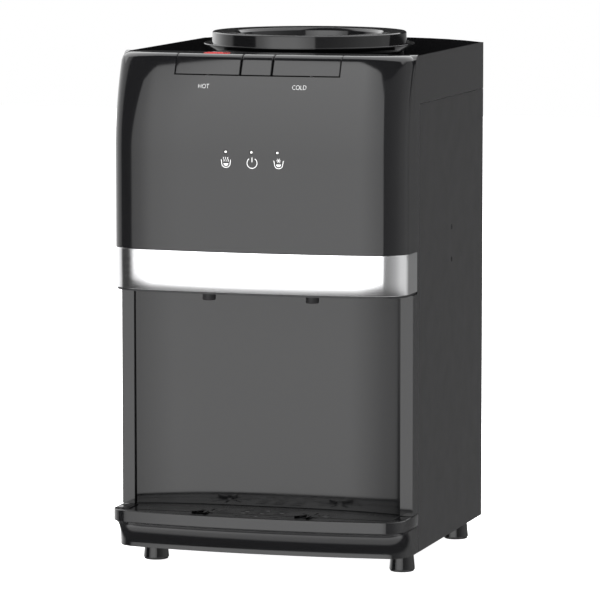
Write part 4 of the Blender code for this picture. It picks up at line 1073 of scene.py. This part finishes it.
def rear_fittings():
    """Switches with rockers, cord gland and the drain with its pull cap."""
    for name, x in SWITCHES.items():
        rocker = f"{name}_rocker"
        refined(f"{name}_switch", "satin_black", 0.0003)
        refined(rocker, "red_plastic" if name == "hot" else "satin_black", 0.0003, 3, rocker)
        bar = box_mesh((x - 0.0004, REAR_FACE_Y + 0.0009, SWITCH_Z + 0.0028),
                       (x + 0.0004, REAR_FACE_Y + 0.0016, SWITCH_Z + 0.0046))
        place(f"{name}_on_mark", bar, "printed_white", body=rocker)
    gland = rounded([(0.0035, 0.0075), (0.0035, -0.01), (0.0075, -0.01), (0.0075, GAP),
                     (0.01, GAP), (0.01, 0.0058), (0.0072, 0.0075)], 0.0004, 3)
    fitted("gland_bush", [turned_mesh(gland, 64)], GLAND, "rubber", "cord_gland")
    fitting = rounded([(0.0052, 0.002), (0.0052, -0.03), (0.008, -0.03), (0.008, GAP),
                       (0.011, GAP), (0.011, 0.002)], 0.0004, 3)
    fitted("drain_socket", [turned_mesh(fitting, 64)], DRAIN, "satin_black", "drain_fitting")
    cap = [(0.0, 0.0085), (0.009, 0.0085), (0.0097, 0.0082), (0.01, 0.0076), (0.01, 0.0028),
           (0.0096, 0.0024), (0.0046, 0.0024), (0.0046, -0.0112), (0.0038, -0.012), (0.0, -0.012)]
    grip = box_mesh((-0.008, -0.001, 0.008), (0.008, 0.001, 0.0089), 0.0003)
    ribs = [moved(box_mesh((0.0096, -0.0006, 0.0034), (0.0102, 0.0006, 0.0074), 0.0002),
                  turn_about("Z", i / 16)) for i in range(16)]
    fitted("drain_stopper", [turned_mesh(cap, 64), grip, *ribs], DRAIN, "rubber", "drain_cap",
           "drain_cap")


def fitted(name, parts, spot, surface, node, body="cabinet"):
    """Piece that points out of the rear panel at an (x, z) spot."""
    mesh = shifted(moved(joined(parts), FACING_REAR), spot[0], REAR_FACE_Y, spot[1])
    place(name, smooth(mesh), surface, node, body)


def moulded_frame():
    """Planar mouldings and plates that take their shape from the CAD."""
    refined("main_frame", "gloss_black", 0.0008, 3)
    refined("head_floor", "satin_black", 0.0004)
    refined("base_pan", "satin_black", 0.0006)


def springs():
    """Return springs, squashed between the taps and the collars of the push rods."""
    for side in ("hot", "cold"):
        spring = added(f"{side}_coil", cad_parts[f"{side}_spring"].data.copy())
        spring.data.materials.clear()
        spring.data.materials.append(SURFACES["stainless"])
        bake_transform(spring)
        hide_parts(f"{side}_spring")


def inner_finishes():
    """Procedural finishes on the CAD nodes that stay as they are."""
    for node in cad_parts.values():
        for slot in node.material_slots:
            finish = slot.material.name.split(".")[0] if slot.material else "satin_black"
            slot.material = SURFACES[INNER_NAMES.get(finish, finish)]


# ------------ studio
def studio():
    """Plain pale floor, white surroundings for the camera, soft lamps in the reflections."""
    corners = [(-FLOOR_HALF, -FLOOR_HALF, 0.0), (FLOOR_HALF, -FLOOR_HALF, 0.0),
               (FLOOR_HALF, FLOOR_HALF, 0.0), (-FLOOR_HALF, FLOOR_HALF, 0.0)]
    floor = added("floor", mesh_of(corners, [(0, 1, 2, 3)], closed=False))
    pale = Surface("pale_floor", (0.9, 0.9, 0.9), 1.0).glow((1.0, 1.0, 1.0), 1.0)
    floor.data.materials.append(pale.material)
    floor.visible_glossy = False
    lamp = bpy.data.lights.new("overhead", "AREA")
    lamp.shape = "SQUARE"
    lamp.size = LAMP_SIZE
    lamp.energy = LAMP_WATTS
    overhead = added("overhead", lamp)
    overhead.location = LAMP_AT
    overhead.visible_glossy = False
    overhead.visible_camera = False
    reflections()


class Sky(Tree):
    """World light, worked out from the direction of a ray."""

    def __init__(self, world):
        world.use_nodes = True
        super().__init__(world.node_tree)
        self.tree.nodes.clear()
        self.direction = self.node("TexCoord", "Generated", {})
        self.azimuth = self.math("ARCTAN2", self.along(1.0, 0.0, 0.0), self.along(0.0, -1.0, 0.0))

    def math(self, operation, *values):
        return self.node("Math", "Value", dict(enumerate(values)), operation=operation)

    def times(self, first, second):
        """Product of two values."""
        return self.math("MULTIPLY", first, second)

    def along(self, *axis):
        """Share of the direction that points along an axis."""
        return self.node("VectorMath", "Value", {0: self.direction, 1: axis}, operation="DOT_PRODUCT")

    def step(self, value, low, high):
        """Soft step from 0 at low to 1 at high, or the other way round."""
        ends = {"From Min": min(low, high), "From Max": max(low, high),
                "To Min": float(low > high), "To Max": float(low < high)}
        return self.node("MapRange", "Result", {"Value": value, **ends},
                         interpolation_type="SMOOTHSTEP")

    def mixed(self, share, dark, light):
        """dark where share is 0 and light where it is 1."""
        return self.math("ADD", dark, self.times(share, self.math("SUBTRACT", light, dark)))

    def inside(self, value, low, high, blur):
        """1 between low and high and 0 outside, with soft edges."""
        return self.times(self.step(value, low - blur, low + blur),
                          self.step(value, high + blur, high - blur))

    def by_azimuth(self, stops, top):
        """Value that runs through (degrees, value) stops round the horizon."""
        share = self.math("MULTIPLY_ADD", self.azimuth, 1 / tau, 0.5)
        shade = self.node("ValToRGB", "Color", {"Fac": share})
        ramp = shade.node.color_ramp
        for degrees, _ in stops[1:-1]:
            ramp.elements.new(degrees / 360 + 0.5)
        for element, (_, value) in zip(ramp.elements, stops):
            element.color = (value / top, value / top, value / top, 1.0)
        return self.times(shade, top)


def reflections():
    """World: walls around, a soft box overhead and a larger one before the object."""
    world = bpy.data.worlds.new("studio")
    bpy.context.scene.world = world
    sky = Sky(world)
    turn = radians(CARD_AZIMUTH)
    ahead = sky.along(sin(turn), -cos(turn), 0.0)
    across = sky.along(cos(turn), sin(turn), 0.0)
    up = sky.along(0.0, 0.0, 1.0)
    light = walls(sky, ahead, up)
    light = sky.mixed(overhead_box(sky, ahead, across, up), light, TOP_LIGHT)
    glow = sky.times(sky.by_azimuth(CARD_PROFILE, 1.0),
                     sky.math("MULTIPLY_ADD", up, CARD_RISE * CARD_LIGHT, CARD_LIGHT))
    light = sky.mixed(card(sky, ahead, up), light, glow)
    seen = sky.node("LightPath", "Is Camera Ray", {})
    shown = sky.node("Background", "Background", {"Color": sky.mixed(seen, light, 1.0)})
    output = sky.tree.nodes.new("ShaderNodeOutputWorld")
    sky.feed(output.inputs["Surface"], shown)


def walls(sky, ahead, up):
    """Walls lit by their azimuth, dark above and below them, and the floor."""
    climb = sky.math("MULTIPLY_ADD", sky.step(ahead, *WALL_RISE_FROM), -WALL_RISE, up)
    light = sky.mixed(sky.step(climb, *WALL_EDGE), sky.by_azimuth(WALLS, WALL_LIGHT), UPPER_DARK)
    light = sky.mixed(sky.step(up, *WALL_FOOT), light, LOWER_DARK)
    return sky.mixed(sky.step(up, *FLOOR_EDGE), light, FLOOR_LIGHT)


def overhead_box(sky, ahead, across, up):
    """Where the soft box over the object is seen."""
    height = sky.math("MAXIMUM", up, NEARLY_LEVEL)
    sideways = sky.inside(sky.math("DIVIDE", across, height), TOP_LEFT, TOP_RIGHT,
                          TOP_SIDE_BLUR)
    forwards = sky.inside(sky.math("DIVIDE", ahead, height), -TOP_BACK, -TOP_FRONT, TOP_BLUR)
    return sky.times(sky.times(sideways, forwards), sky.step(up, 0.0, TOP_BLUR))


def card(sky, ahead, up):
    """Where the front soft box is seen; its upper edge falls towards the left."""
    height = sky.math("DIVIDE", up, sky.math("MAXIMUM", ahead, NEARLY_LEVEL))
    left, right = (radians(edge) for edge in CARD_EDGES)
    past = sky.math("SUBTRACT", radians(CARD_DROOP_FROM), sky.azimuth)
    drooped = sky.math("MULTIPLY_ADD", sky.math("MAXIMUM", past, 0.0), CARD_DROOP, height)
    low = sky.step(height, CARD_LOW - CARD_BLUR, CARD_LOW + CARD_BLUR)
    top = sky.step(drooped, CARD_TOP + CARD_BLUR, CARD_TOP - CARD_BLUR)
    return sky.times(sky.inside(sky.azimuth, left, right, CARD_SIDE_BLUR), sky.times(low, top))


def camera():
    data = bpy.data.cameras.new("camera")
    data.lens = LENS_MM
    data.clip_end = 50.0
    obj = added("camera", data)
    away = Vector((sin(AZIMUTH) * cos(ELEVATION), -cos(AZIMUTH) * cos(ELEVATION), sin(ELEVATION)))
    obj.location = TARGET + away * DISTANCE
    obj.rotation_euler = away.to_track_quat("Z", "Y").to_euler()
    bpy.context.scene.camera = obj
    bpy.context.scene.view_settings.view_transform = "Standard"


camera()
upper_fascia()
keys()
chrome_band()
lamps()
symbols()
lettering()
splash_panel()
base_skirt()
drip_tray()
feet()
taps()
bottle_seat()
moulded_frame()
sheet_metal()
fan()
rear_fittings()
springs()
inner_finishes()
studio()
